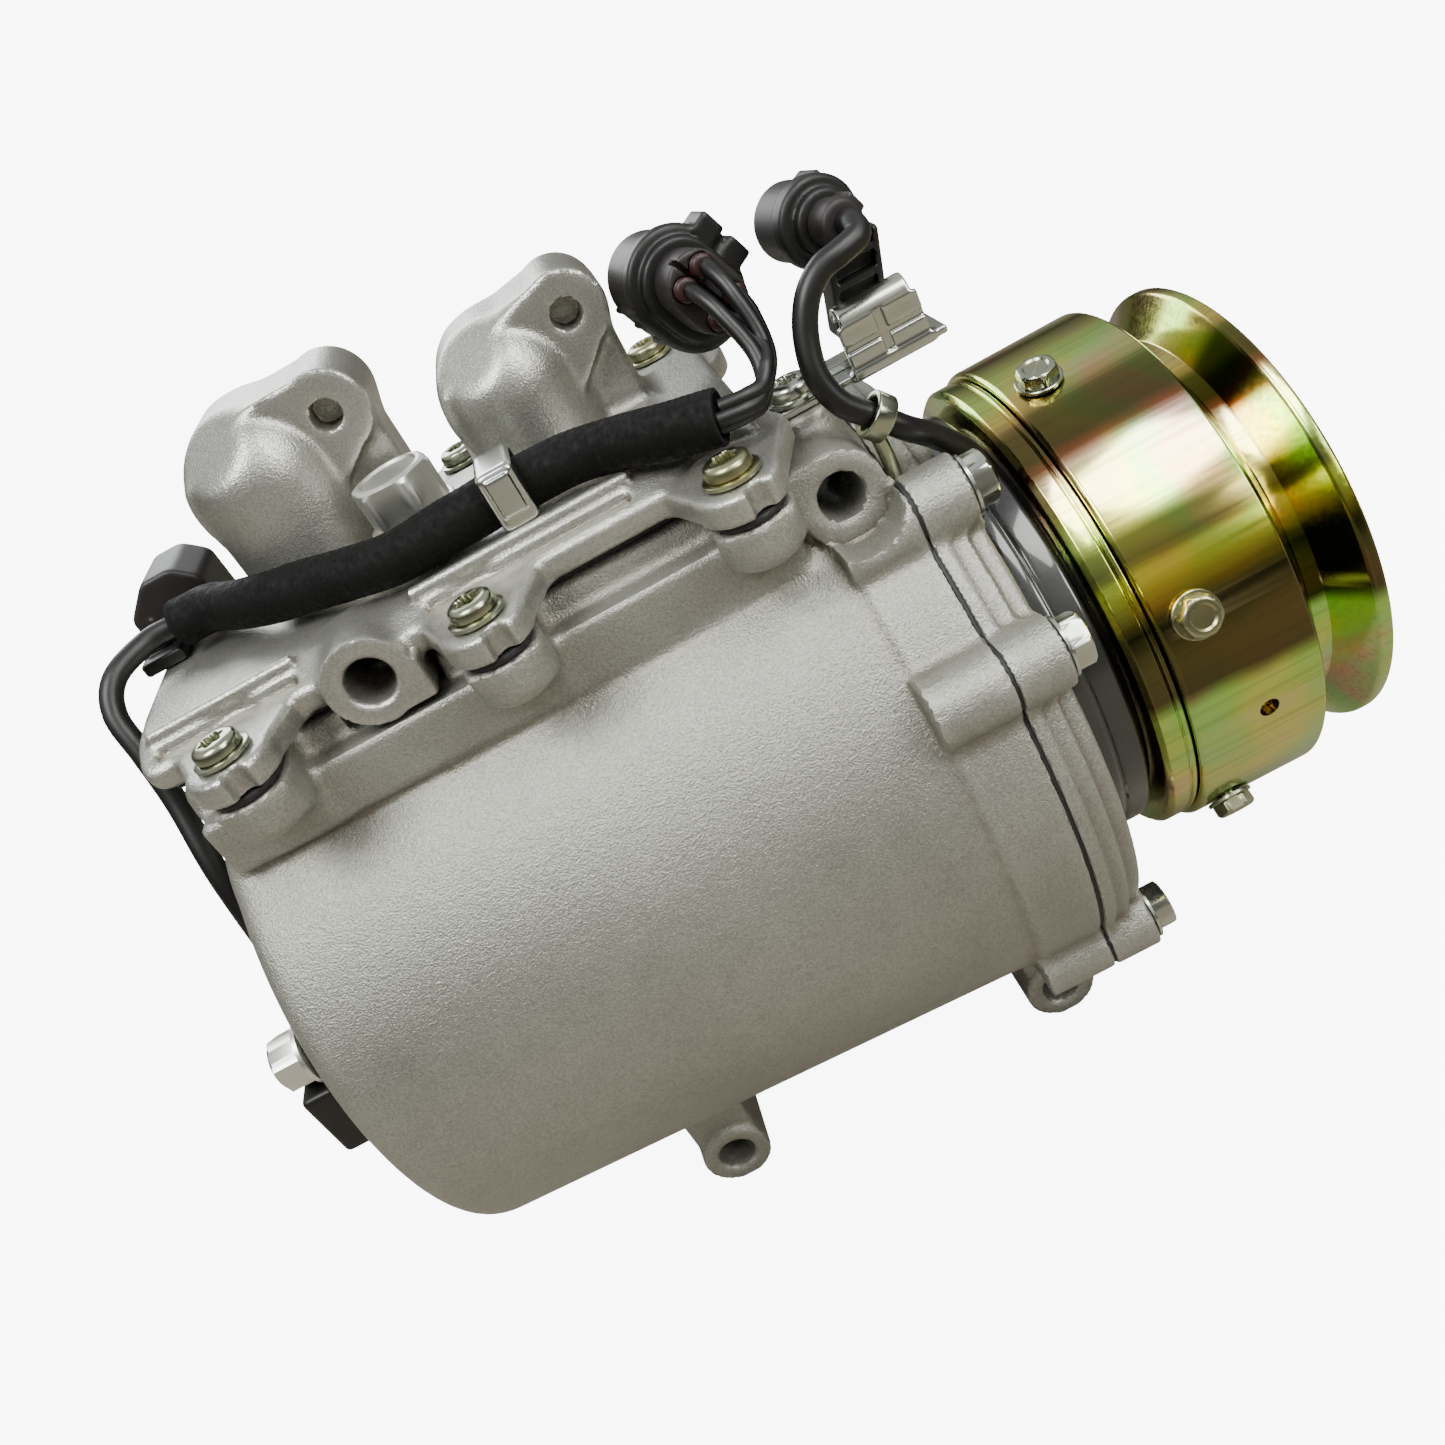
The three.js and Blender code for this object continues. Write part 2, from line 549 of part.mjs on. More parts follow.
function leafSpring(index) {
  const t = (2 * Math.PI * index) / 3;
  const lag = t - 0.8;
  const inner = [31 * Math.cos(t), 31 * Math.sin(t), 4];
  const outer = [45 * Math.cos(lag), 45 * Math.sin(lag), 4];
  return plate(pebble(inner, outer), 0.8, [71.9, 0, 0], [0, 1, 0], [0, 0, 1]);
}

// ---------------------------------------------------------------- wiring and brackets

const PLUG_AXIS = [-0.236, 0.972, -0.005]; // both plugs point this way, to the far side
const PLUG_LONG = [0.4, 0.093, -0.912];
const HARNESS_PLUG_AT = [-7, -4, 110];
const COIL_PLUG_AT = [20.5, -10, 110.6];

const along = (p, axis, d) => {
  const length = Math.hypot(...axis);
  return p.map((v, i) => v + (d * axis[i]) / length);
};

function crossOf(u, v) {
  return new THREE.Vector3(...u).cross(new THREE.Vector3(...v)).normalize().toArray();
}

// the four-way plug: oval hood, flange and tapered wire end, with a latch on its upper side
function harnessPlug() {
  const side = crossOf(PLUG_AXIS, PLUG_LONG);
  const oval = (half, r) => pebble([-half, 0, r], [half, 0, r]);
  function layer(outline, from, to) {
    return plate(outline, to - from, along(HARNESS_PLUG_AT, PLUG_AXIS, from), PLUG_LONG, side);
  }
  return join(
    layer(oval(2.6, 9.4), 0, 14),
    layer(oval(2.6, 10.8), -3, 1),
    layer(oval(2.2, 7), -14, -2),
    layer([[-6, -8], [6, -8], [6, -13.4], [-6, -13.4]], -3, 8),
  );
}

function coilPlug() {
  const at = (d) => along(COIL_PLUG_AT, PLUG_AXIS, d);
  return join(
    bar(at(0), at(11), 7.8, 16),
    bar(at(-4), at(1), 8.8, 16),
    bar(at(-13), at(-3), 4.5, 12),
  );
}

// a strap screwed to the boss behind the front lug, folded up to carry the coil plug
function connectorBracket() {
  const foot = box([-5, 34], [-25, -9], [BRACKET_Z, BRACKET_Z + 1.6]);
  const tongue = box([14, 31], [-25, -23.4], [BRACKET_Z + 1, BRACKET_Z + 12]);
  return join(foot, tongue);
}

// an eye round the coil lead, on a stem from the flange of the housing
function leadClip() {
  const ring = bar([11.4, -36, 80.9], [14, -36, 77.9], 4.8, 12);
  const eye = bar([9, -36, 83.7], [17, -36, 74.5], 3.3, 12);
  return cut(join(ring, bar([11.6, -36, 66.4], [11.6, -36, 76.2], 1.5, 8)), eye);
}

const SLEEVE_R = 5.3;
const WIRE_BUNDLE_R = 3.4;
const LEAD_R = 2.6;
const SLEEVE_ROUTE = [
  [-134, 3.6, 98.6], [-126, 1.6, 98.6], [-114.5, -9.5, 98.6], [-98, -18, 98], [-82, -25.5, 97.4],
  [-66, -23.6, 97.2], [-50, -22.6, 97.2], [-38, -25.5, 97], [-26, -33.5, 96.4], [-14, -38.5, 95],
];
const WIRE_ROUTE = [
  [-3.4, -18.7, 110.1], [-2.8, -21.2, 109.6], [-1.7, -25.5, 106.6], [-1, -31, 99.5], [-4.5, -36, 94.6],
  [-8.5, -38.2, 94.4], [-11.8, -38.7, 94.7],
];
const COIL_LEAD_ROUTE = [
  [24, -24.5, 110.7], [24.4, -27.2, 109.3], [21, -29.6, 108.3], [14.8, -30.4, 107.5],
  [10.3, -31.4, 104.3], [7, -32.8, 98.5], [5.6, -34.8, 91.5], [7.6, -36, 85], [12.7, -36, 79.4], [17, -36, 74.5], [22, -33, 69], [27.5, -29.5, 61.5],
  [30, -26.5, 54], [30, -25.6, 49.3],
];
const REAR_CABLE_ROUTE = [
  [-135.3, 3.7, 98.6], [-142, 1.5, 99], [-149.5, -5, 97.5], [-152.6, -10, 92], [-151.4, -15, 83],
  [-150.6, -20, 72], [-150.4, -28, 57], [-150.4, -34, 36], [-150.8, -37, 19],
  [-151.4, -40, 12], [-151.6, -45.1, 10.4],
];

function sensorConnector() {
  const hood = [[-147, 92], [-147, 101], [-140, 107.5], [-133, 107.5], [-128, 103], [-128, 92]];
  return join(
    plate(hood, 18, [0, 31, 0], [1, 0, 0], [0, 0, 1]),
    box([-147, -137], [1, 15], [91.8, 94.8]),
  );
}

// ---------------------------------------------------------------- finishes and assembly

function finish(color, roughness, metalness) {
  return () => new THREE.MeshStandardMaterial({ color, roughness, metalness });
}
const CAST = finish(0xc4c1b6, 0.62, 0.75);
const COVER_CAST = finish(0xb9bab4, 0.5, 0.8);
const ZINC = finish(0xc9cbc2, 0.28, 1);
const GOLD = finish(0xb7ad6a, 0.25, 1);
const STEEL = finish(0x9a9da0, 0.35, 1);
const DARK_STEEL = finish(0x4d5053, 0.5, 0.9);
const BLACK = finish(0x1d1d1d, 0.6, 0);
const GREY_PLASTIC = finish(0x5a5350, 0.5, 0);
const GASKET = finish(0x141414, 0.8, 0);
const MACHINED = finish(0xc2c4c6, 0.3, 0.95);

const compressor = new THREE.Group();

function add(name, manifold, material, offset = [0, 0, 0]) {
  const mesh = new THREE.Mesh(geometryOf(manifold), material());
  mesh.name = name;
  mesh.position.set(...offset);
  compressor.add(mesh);
}

add('rear_housing', rearHousing(), CAST);
add('front_housing', frontHousing(), CAST);
add('head_cover', headCover(), COVER_CAST);
add('front_gasket', frontGasket(), GASKET);
add('head_gasket', headGasket(), GASKET);
FRONT_BOLT_ANGLES.forEach((angle, i) => add(`front_bolt_${i + 1}`, frontBolt(angle), ZINC));
SCREW_XS.forEach((x, i) => {
  add(`cover_screw_${i + 1}`, coverScrew(x, -SCREW_Y), ZINC);
  add(`cover_screw_${i + 4}`, coverScrew(x, SCREW_Y), ZINC);
});
add('relief_valve', reliefValve(), ZINC);

add('fixed_scroll', fixedScroll(), MACHINED);
add('orbiting_scroll', orbitingScroll(), MACHINED, [0, 0, ORBIT_R]);
add('orbit_bearing', sleeve(-6.7, 4.7, 12.3, 16), STEEL, [0, 0, ORBIT_R]);
add('thrust_plate', thrustPlate(), STEEL);
const tongue = (r0, r1, thickness, x) => plate(
  pebble([0, 0, r0], [22, 0, r1]), thickness, [x, 0, 0], [0, 1, 0], [0, 0, 1],
);
add('reed_valve', tongue(7, 5, 0.6, -68.4), STEEL);
add('valve_retainer', tongue(8, 6, 2.4, -71.4), STEEL);
add('drive_bush', driveBush(), DARK_STEEL);
add('drive_shaft', driveShaft(), STEEL);
add('main_bearing', sleeve(16.6, 29.2, 12.8, 20.7), STEEL);
add('shaft_seal', sleeve(31, 39.2, 10.3, 17.7), BLACK);
add('nose_bearing', sleeve(48, 58, 9.3, 15.7), STEEL);

add('clutch_coil', clutchCoil(), DARK_STEEL);
add('coil_snap_ring', sleeve(28.4, 30, NOSE_R + GAP, 26.5), STEEL);
add('pulley_bearing', sleeve(42, 60, NOSE_R + GAP, 33.7), STEEL);
add('clutch_rotor', clutchRotor(), GOLD);
add('v_pulley', vPulley(), GOLD);
for (let i = 0; i < PULLEY_BOLTS; i++) {
  const angle = PULLEY_BOLT_START + (360 / PULLEY_BOLTS) * i;
  add(`pulley_bolt_${i + 1}`, pulleyBolt(angle), ZINC);
}
add('armature_plate', sleeve(FRICTION_X + ARMATURE_GAP, 71.6, 34, 53), DARK_STEEL);
for (let i = 0; i < 3; i++) add(`leaf_spring_${i + 1}`, leafSpring(i), STEEL);
add('clutch_hub', clutchHub(), DARK_STEEL);
const nut = bar([76.7, 0, 0], [83.7, 0, 0], 17 / Math.sqrt(3), 6);
add('hub_nut', cut(nut, bar([70, 0, 0], [90, 0, 0], 5.3, 20)), ZINC);

add('harness_sleeve', rope(SLEEVE_ROUTE, SLEEVE_R, 8, 16), BLACK);
const clip = box([-60, -52], [-30.4, -15.8], [91.8, 104.4]);
add('sleeve_clip', cut(clip, box([-61, -51], [-29, -17.2], [91, 103])), ZINC);
add('sensor_connector', sensorConnector(), GREY_PLASTIC);
add('rear_cable', rope(REAR_CABLE_ROUTE, LEAD_R, 8, 20), BLACK);
add('rear_sensor', bar([REAR_X - GAP, -53.5, 24], [REAR_X - 8, -53.5, 24], 6.6, 6), ZINC);
add('rear_sensor_plug', box([REAR_X - 8, REAR_X - GAP], [-60, -46], [0, 17.3]), BLACK);
add('harness_plug', harnessPlug(), GREY_PLASTIC);
add('plug_lead', rope(WIRE_ROUTE, WIRE_BUNDLE_R, 8, 10), BLACK);
add('connector_bracket', connectorBracket(), ZINC);
add('bracket_screw', bar([2, -20, BRACKET_Z + 1.9], [2, -20, BRACKET_Z + 5.2], 4.6, 12), ZINC);
add('coil_plug', coilPlug(), GREY_PLASTIC);
add('coil_lead', rope(COIL_LEAD_ROUTE, LEAD_R, 8, 20), BLACK);
add('lead_clip', leadClip(), ZINC);

export default compressor;
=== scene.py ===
"""Looks for a car's scroll compressor with a magnetic clutch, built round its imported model.

Lengths below are millimetres and become metres when a mesh is made (see piece()).
+X runs along the shaft towards the pulley, +Z up through the port cover.
Castings are distance fields: each is a function that is negative inside the metal, joined with
rounded unions as a casting's fillets are, and skinned by field_skin(). Turned, drawn and moulded
pieces are profiles carried round an axis or along a path.
"""

import json

import bpy
import numpy as np
from mathutils import Matrix, Vector


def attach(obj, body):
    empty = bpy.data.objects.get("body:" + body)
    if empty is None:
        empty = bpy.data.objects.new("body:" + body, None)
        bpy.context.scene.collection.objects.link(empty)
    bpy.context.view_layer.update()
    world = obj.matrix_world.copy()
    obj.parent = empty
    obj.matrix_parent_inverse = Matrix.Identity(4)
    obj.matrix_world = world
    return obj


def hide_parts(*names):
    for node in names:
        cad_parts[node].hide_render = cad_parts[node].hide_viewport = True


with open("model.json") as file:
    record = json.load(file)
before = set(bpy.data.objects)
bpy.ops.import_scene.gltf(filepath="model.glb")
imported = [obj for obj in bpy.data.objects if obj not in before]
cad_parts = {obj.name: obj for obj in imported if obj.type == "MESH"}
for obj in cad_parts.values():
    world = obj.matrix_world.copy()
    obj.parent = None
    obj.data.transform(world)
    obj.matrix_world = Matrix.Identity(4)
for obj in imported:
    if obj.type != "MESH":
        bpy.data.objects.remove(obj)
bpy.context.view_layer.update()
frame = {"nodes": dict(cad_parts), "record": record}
MM = 0.001
TAU = 2 * np.pi
SIXTH = np.pi / 3


# ---------------------------------------------------------------- camera and light

def unit(v):
    """The direction of a vector."""
    return np.asarray(v, float) / np.linalg.norm(v)


def make_camera():
    """A close view from the near side and above, tilted so the pulley end points up and right."""
    data = bpy.data.cameras.new("view")
    data.sensor_width = 36.0
    data.lens = 31.24
    cam = bpy.data.objects.new("view", data)
    right = unit((0.87971, -0.20329, -0.42986))
    down = unit((-0.47262, -0.47329, -0.74339))
    ahead = np.cross(right, down)
    where = np.array((-27.99, -261.10, 170.62)) * MM
    cam.matrix_world = Matrix([
        (right[i], -down[i], -ahead[i], where[i]) for i in range(3)] + [(0, 0, 0, 1)])
    data.clip_start = 0.01
    bpy.context.collection.objects.link(cam)
    bpy.context.scene.camera = cam


def make_light(name, place, aim, size, power, color=(1, 1, 1)):
    """A square soft lamp, place and aim in metres from the object's origin."""
    data = bpy.data.lights.new(name, "AREA")
    data.size = size
    data.energy = power
    data.color = color
    lamp = bpy.data.objects.new(name, data)
    lamp.location = place
    lamp.rotation_euler = (Vector(aim) - Vector(place)).to_track_quat("-Z", "Y").to_euler()
    bpy.context.collection.objects.link(lamp)


# ---------------------------------------------------------------- distance fields

def hypot(a, b):
    """Distance from an axis, given the two offsets from it."""
    return np.sqrt(a * a + b * b)


def join(a, b, k=1.0):
    """Union of two fields with a fillet about k wide."""
    h = np.clip(0.5 + 0.5 * (b - a) / k, 0, 1)
    return b + (a - b) * h - k * h * (1 - h)


def meet(a, b, k=0.8):
    """Intersection of two fields with an edge rounded about k wide."""
    return -join(-a, -b, k)


def cut(a, b, k=0.6):
    """Field a with field b taken out of it."""
    return -join(-a, b, k)


def slab(v, low, high):
    """Between two parallel planes: the distance past the nearer one."""
    return np.maximum(low - v, v - high)


def block(x, y, z, xs, ys, zs, k=1.5):
    """A box as three slabs met at right angles, its edges rounded about k wide."""
    return meet(meet(slab(x, *xs), slab(y, *ys), k), slab(z, *zs), k)


def rod_x(x, y, z, cy, cz, r, x0, x1, k=0.8):
    """A round bar along X: distance from its axis less its radius, met by a slab."""
    return meet(hypot(y - cy, z - cz) - r, slab(x, x0, x1), k)


def rod_y(x, y, z, cx, cz, r, y0, y1, k=0.8):
    """The same along Y."""
    return meet(hypot(x - cx, z - cz) - r, slab(y, y0, y1), k)


def rod_z(x, y, z, cx, cy, r, z0, z1, k=0.8):
    """The same along Z."""
    return meet(hypot(x - cx, y - cy) - r, slab(z, z0, z1), k)


def stadium(u, v, a, b, ra, rb):
    """Plane field of two discs and their outer tangents: distance to the line a-b, less a radius
    that runs from ra to rb along it."""
    du, dv = b[0] - a[0], b[1] - a[1]
    t = np.clip(((u - a[0]) * du + (v - a[1]) * dv) / (du * du + dv * dv), 0, 1)
    return hypot(u - a[0] - t * du, v - a[1] - t * dv) - (ra + (rb - ra) * t)


def field_skin(field, low, high, step):
    """Closed mesh of the surface where a field is zero, as dual contouring of a grid: one vertex
    in each grid cell that the surface crosses, at the mean of the crossings on the cell's edges,
    then moved onto the surface along the field's gradient, and one quad round each crossed edge."""
    step = np.broadcast_to(np.asarray(step, float), 3)
    low, high = np.asarray(low, float), np.asarray(high, float)
    n = np.ceil((high - low) / step).astype(int) + 1
    axes = [low[i] + step[i] * np.arange(n[i]) for i in range(3)]
    f = field(axes[0][:, None, None], axes[1][None, :, None], axes[2][None, None, :])
    f = np.broadcast_to(f, n).astype(np.float32).copy()
    f[np.abs(f) < 1e-5] = 1e-5
    inside = f < 0
    cells = n - 1
    total = int(np.prod(cells))
    hits = np.zeros(total)
    sums = np.zeros((3, total))
    edges = []
    for axis in range(3):
        lo = [slice(None)] * 3
        hi = [slice(None)] * 3
        lo[axis] = slice(0, -1)
        hi[axis] = slice(1, None)
        at = np.nonzero(inside[tuple(lo)] != inside[tuple(hi)])
        first = f[tuple(lo)][at]
        second = f[tuple(hi)][at]
        place = np.stack(at).astype(float)
        place[axis] += first / (first - second)
        p, q = (axis + 1) % 3, (axis + 2) % 3
        around = []
        for dp, dq in ((-1, -1), (0, -1), (0, 0), (-1, 0)):
            cell = np.stack(at)
            cell[p] += dp
            cell[q] += dq
            index = (cell[0] * cells[1] + cell[1]) * cells[2] + cell[2]
            around.append(index)
            hits += np.bincount(index, minlength=total)
            for i in range(3):
                sums[i] += np.bincount(index, weights=place[i], minlength=total)
        quad = np.stack(around, 1)
        edges.append(np.where((first < 0)[:, None], quad, quad[:, ::-1]))
    used = np.nonzero(hits)[0]
    number = np.full(total, -1)
    number[used] = np.arange(len(used))
    verts = low + (sums[:, used] / hits[used]).T * step
    quads = number[np.concatenate(edges)]
    e = 0.05  # how far apart the field is read to find its slope
    for _ in range(3):
        value = field(verts[:, 0], verts[:, 1], verts[:, 2])
        slope = np.stack([
            field(verts[:, 0] + e, verts[:, 1], verts[:, 2]) - value,
            field(verts[:, 0], verts[:, 1] + e, verts[:, 2]) - value,
            field(verts[:, 0], verts[:, 1], verts[:, 2] + e) - value], 1) / e
        size = np.maximum((slope ** 2).sum(1), 0.25)
        move = slope * (value / size)[:, None]
        reach = 0.4 * step.min()
        length = np.maximum(np.linalg.norm(move, axis=1), 1e-9)
        verts = verts - move * np.minimum(1, reach / length)[:, None]
    return verts, quads


# ---------------------------------------------------------------- profiles and paths

def grid_quads(rows, columns, loop_rows=True, loop_columns=True):
    """Quads of a grid of vertices, row by row, wrapped where a direction closes on itself."""
    r = np.arange(rows if loop_rows else rows - 1)[:, None]
    c = np.arange(columns if loop_columns else columns - 1)[None, :]
    r1, c1 = (r + 1) % rows, (c + 1) % columns
    corners = (r * columns + c, r1 * columns + c, r1 * columns + c1, r * columns + c1)
    return np.stack(corners, -1).reshape(-1, 4)


def as_lists(faces):
    """Faces as plain lists, which may be of three or four vertices."""
    return faces.tolist() if hasattr(faces, "tolist") else faces


def rounded(points, radius=0.5, steps=4):
    """A closed outline whose corners are arcs: each corner gives a short quadratic curve between
    points that lie radius away from it along its two sides."""
    p = np.asarray(points, float)
    before, after = np.roll(p, 1, 0), np.roll(p, -1, 0)
    back, on = before - p, after - p
    lb = np.linalg.norm(back, axis=1, keepdims=True)
    lo = np.linalg.norm(on, axis=1, keepdims=True)
    a = p + back / lb * np.minimum(radius, 0.45 * lb)
    b = p + on / lo * np.minimum(radius, 0.45 * lo)
    t = np.linspace(0, 1, steps)[None, :, None]
    curve = (1 - t) ** 2 * a[:, None] + 2 * t * (1 - t) * p[:, None] + t ** 2 * b[:, None]
    return curve.reshape(-1, 2)


def outward(verts, faces):
    """The same closed mesh with its faces wound so that the volume they enclose counts as positive.
    That volume is a sixth of the sum of a . (b x c + c x d) over the quads a b c d; a triangle
    counts as a quad whose d is its a."""
    faces = as_lists(faces)
    quads = np.array([(face + face[:1])[:4] for face in faces])
    a, b, c, d = (verts[quads[:, i]] for i in range(4))
    volume = (a * (np.cross(b, c) + np.cross(c, d))).sum()
    return verts, (faces if volume > 0 else [face[::-1] for face in faces])


def turned(profile, sides=128, radius=0.5):
    """A ring: the closed outline of (x, radius) points, its corners rounded, carried round the
    shaft. Vertex = (x, r cos t, r sin t)."""
    outline = rounded(profile, radius)
    t = TAU * np.arange(sides) / sides
    x = np.repeat(outline[:, 0][None], sides, 0)
    r = outline[:, 1]
    verts = np.stack([x, r * np.cos(t)[:, None], r * np.sin(t)[:, None]], -1)
    return outward(verts.reshape(-1, 3), grid_quads(sides, len(outline)))


def smooth_path(points, count):
    """A Catmull-Rom curve through given points, sampled at equal steps of its length."""
    p = np.asarray(points, float)
    ends = np.concatenate([[2 * p[0] - p[1]], p, [2 * p[-1] - p[-2]]])
    t = np.linspace(0, 1, 24, endpoint=False)[:, None]
    runs = []
    for i in range(len(p) - 1):
        a, b, c, d = ends[i:i + 4]
        runs.append(0.5 * (2 * b + (c - a) * t + (2 * a - 5 * b + 4 * c - d) * t ** 2
                           + (3 * b - a - 3 * c + d) * t ** 3))
    dense = np.concatenate(runs + [p[-1:]])
    gone = np.concatenate([[0], np.cumsum(np.linalg.norm(np.diff(dense, axis=0), axis=1))])
    want = np.linspace(0, gone[-1], count)
    return np.stack([np.interp(want, gone, dense[:, i]) for i in range(3)], 1)


def frames_along(path):
    """Tangent and two cross directions at each point of a path, turned as little as possible."""
    tangent = np.gradient(path, axis=0)
    tangent /= np.linalg.norm(tangent, axis=1, keepdims=True)
    side = np.cross(tangent[0], (0.123, 0.456, 0.881))
    sides = []
    for t in tangent:
        side = side - t * side.dot(t)
        side = side / np.linalg.norm(side)
        sides.append(side)
    sides = np.array(sides)
    return tangent, sides, np.cross(tangent, sides)


def tube(path, radius, sides=20, bumps=None, open_end=False):
    """A round bar along a path: vertex = path + radius (cos t side + sin t up), with bumps(s, t)
    added to the radius at length s. Both ends are broken and closed, or an open end is a cup 4 mm
    deep."""
    tangent, side, up = frames_along(path)
    t = TAU * np.arange(sides) / sides
    gone = np.concatenate([[0], np.cumsum(np.linalg.norm(np.diff(path, axis=0), axis=1))])
    r = np.full((len(path), sides), float(radius))
    if bumps is not None:
        r += bumps(gone[:, None], t[None, :])
    verts = (path[:, None] + r[..., None] * (
        np.cos(t)[None, :, None] * side[:, None] + np.sin(t)[None, :, None] * up[:, None]))
    rings = [path[0] + (verts[0] - path[0]) * 0.85 - tangent[0] * 0.05 * radius, *verts]
    last = path[-1] + tangent[-1] * 0.05 * radius
    rings.append(last + (verts[-1] - path[-1]) * 0.85)
    centre = last
    if open_end:
        centre = path[-1] - tangent[-1] * 4
        rings.append(centre + (verts[-1] - path[-1]) * 0.8)
    return capped(np.array(rings), path[0] - tangent[0] * 0.05 * radius, centre)


def capped(rings, first, last):
    """Closes a stack of rings of equal count with a fan at each end, about the points first and
    last."""
    rows, sides = rings.shape[:2]
    k = np.arange(sides)
    k1 = (k + 1) % sides
    n, top = rows * sides, (rows - 1) * sides
    faces = grid_quads(rows, sides, loop_rows=False)[:, ::-1].tolist()
    faces += [[n, int(a), int(b)] for a, b in zip(k1, k)]
    faces += [[n + 1, int(top + a), int(top + b)] for a, b in zip(k, k1)]
    return outward(np.concatenate([rings.reshape(-1, 3), [first, last]]), faces)


ROUND = TAU * np.arange(72) / 72  # the directions in which head() places its vertices


def hexagon(flats, widest=9.0):
    """Radius of a regular hexagon in each direction: half its flats over the cosine of the angle
    from the nearest flat's middle, no wider than widest flats."""
    off = (ROUND + SIXTH / 2) % SIXTH - SIXTH / 2
    return np.minimum(flats / 2 / np.cos(off), flats / 2 * min(widest, 1.135))


def lobes(r, depth):
    """Radius of a six-lobed socket."""
    return r + depth * np.cos(6 * ROUND)


def head(rings):
    """A solid about the z axis from (height, radius) rings, where a radius may differ by direction."""
    rows = [np.stack([r * np.cos(ROUND), r * np.sin(ROUND), ROUND * 0 + z], 1) for z, r in rings]
    return capped(np.array(rows), np.array((0, 0, rings[0][0])), np.array((0, 0, rings[-1][0])))


def stand(mesh, foot, axis, spin=0.0):
    """Moves a mesh made about the z axis so that it stands at foot, along axis."""
    verts, faces = mesh
    lean = Vector((0, 0, 1)).rotation_difference(Vector(unit(axis))).to_matrix()
    turn = lean @ Matrix.Rotation(spin, 3, "Z")
    return verts @ np.array(turn).T + np.asarray(foot, float), faces


def upright(mesh):
    """Turns a ring made round the shaft so that it lies round the z axis."""
    verts, faces = mesh
    return verts[:, [1, 2, 0]], faces


def merged(*meshes):
    """Several closed meshes as one."""
    verts, faces, start = [], [], 0
    for v, f in meshes:
        verts.append(v)
        faces += [[i + start for i in face] for face in as_lists(f)]
        start += len(v)
    return np.concatenate(verts), faces


def piece(name, mesh, material, body, replaces=(), keep=None, sharp=40):
    """Makes the Blender object of a mesh given in millimetres, riding on a body in place of the
    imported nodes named. keep thins a dense skin to that share of its faces; sharp is the angle past
    which an edge is shaded as a corner."""
    verts, faces = mesh
    data = bpy.data.meshes.new(name)
    data.from_pydata((np.asarray(verts) * MM).tolist(), [], as_lists(faces))
    data.update()
    obj = bpy.data.objects.new(name, data)
    bpy.context.collection.objects.link(obj)
    if keep:
        thin = obj.modifiers.new("thin", "DECIMATE")
        thin.ratio = keep
        apply_modifiers(obj)
    obj.data.materials.append(material)
    obj.data.shade_smooth()
    if sharp:
        obj.data.set_sharp_from_angle(angle=np.radians(sharp))
    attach(obj, body)
    if replaces:
        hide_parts(*replaces)
    return obj


def apply_modifiers(obj):
    """Replaces an object's mesh with what its modifiers make of it."""
    graph = bpy.context.evaluated_depsgraph_get()
    done = bpy.data.meshes.new_from_object(obj.evaluated_get(graph))
    old = obj.data
    obj.modifiers.clear()
    obj.data = done
    bpy.data.meshes.remove(old)


# ---------------------------------------------------------------- castings

REAR_X, JOINT_X, FACE_X, NOSE_END_X = -147.2, 9.7, 21.5, 64.0
BOLT_CIRCLE_R = 74.5
BOLT_ANGLES = (55, 27, -43, -125, -153, 137)  # degrees up from the -Y side
BOSS_R = 7.6
PAD_TOP_Z, COVER_Z = 79.5, 81.4
SCREW_Y, SCREW_XS, SCREW_SEAT_Z = 47.9, (-123.5, -69.8, -17.3), 87.2
LUG_R, LUG_BORE_R, LUG_FACE_Y = 9.2, 4.85, -40.7
REAR_LUG_X, COVER_LUG_Z, FRONT_LUG_Z, LOWER_LUG_Z = -95.6, 83.2, 70.2, -85.7
REAR_CASTING_END_X, FRONT_CASTING_START_X = JOINT_X + 0.1, JOINT_X + 0.9
LOWER_LUG_HALF = 32.2
SLEEVE_R, PULLEY_BOLT_X, PULLEY_BOLT_ANGLES = 60, 51.5, [18.4 + 60 * i for i in range(6)]
FLOOR_Z = -95.5
TOWERS = (
    dict(x=-101.0, z=115.5, r=16.0, ear=(-82.0, 121.7), ear_r=9.2),
    dict(x=-47.5, z=107.5, r=15.0, ear=(-30.0, 116.0), ear_r=8.8),
)
TOWER_Y, PORT_Y, PORT_BORE_R = 8.0, 22.0, 9
VALVE_X, VALVE_Y, VALVE_SEAT_Z = -76.5, -9.0, 97.0


def around(r, degrees):
    """The y and z of a point at an angle up from the -Y side."""
    t = np.radians(degrees)
    return -r * np.cos(t), r * np.sin(t)


def at_bolts(angles=BOLT_ANGLES):
    """The y and z of each bolt of the housing."""
    return [around(BOLT_CIRCLE_R, angle) for angle in angles]


def lug_bore(x, y, z, cx, cz, y0, y1):
    """A bore along Y whose mouths open out in a small bevel."""
    mouth = np.maximum(0, 0.9 - np.minimum(y - y0, y1 - y))
    return np.maximum(hypot(x - cx, z - cz) - LUG_BORE_R - mouth, slab(y, y0 - 2, y1 + 2))


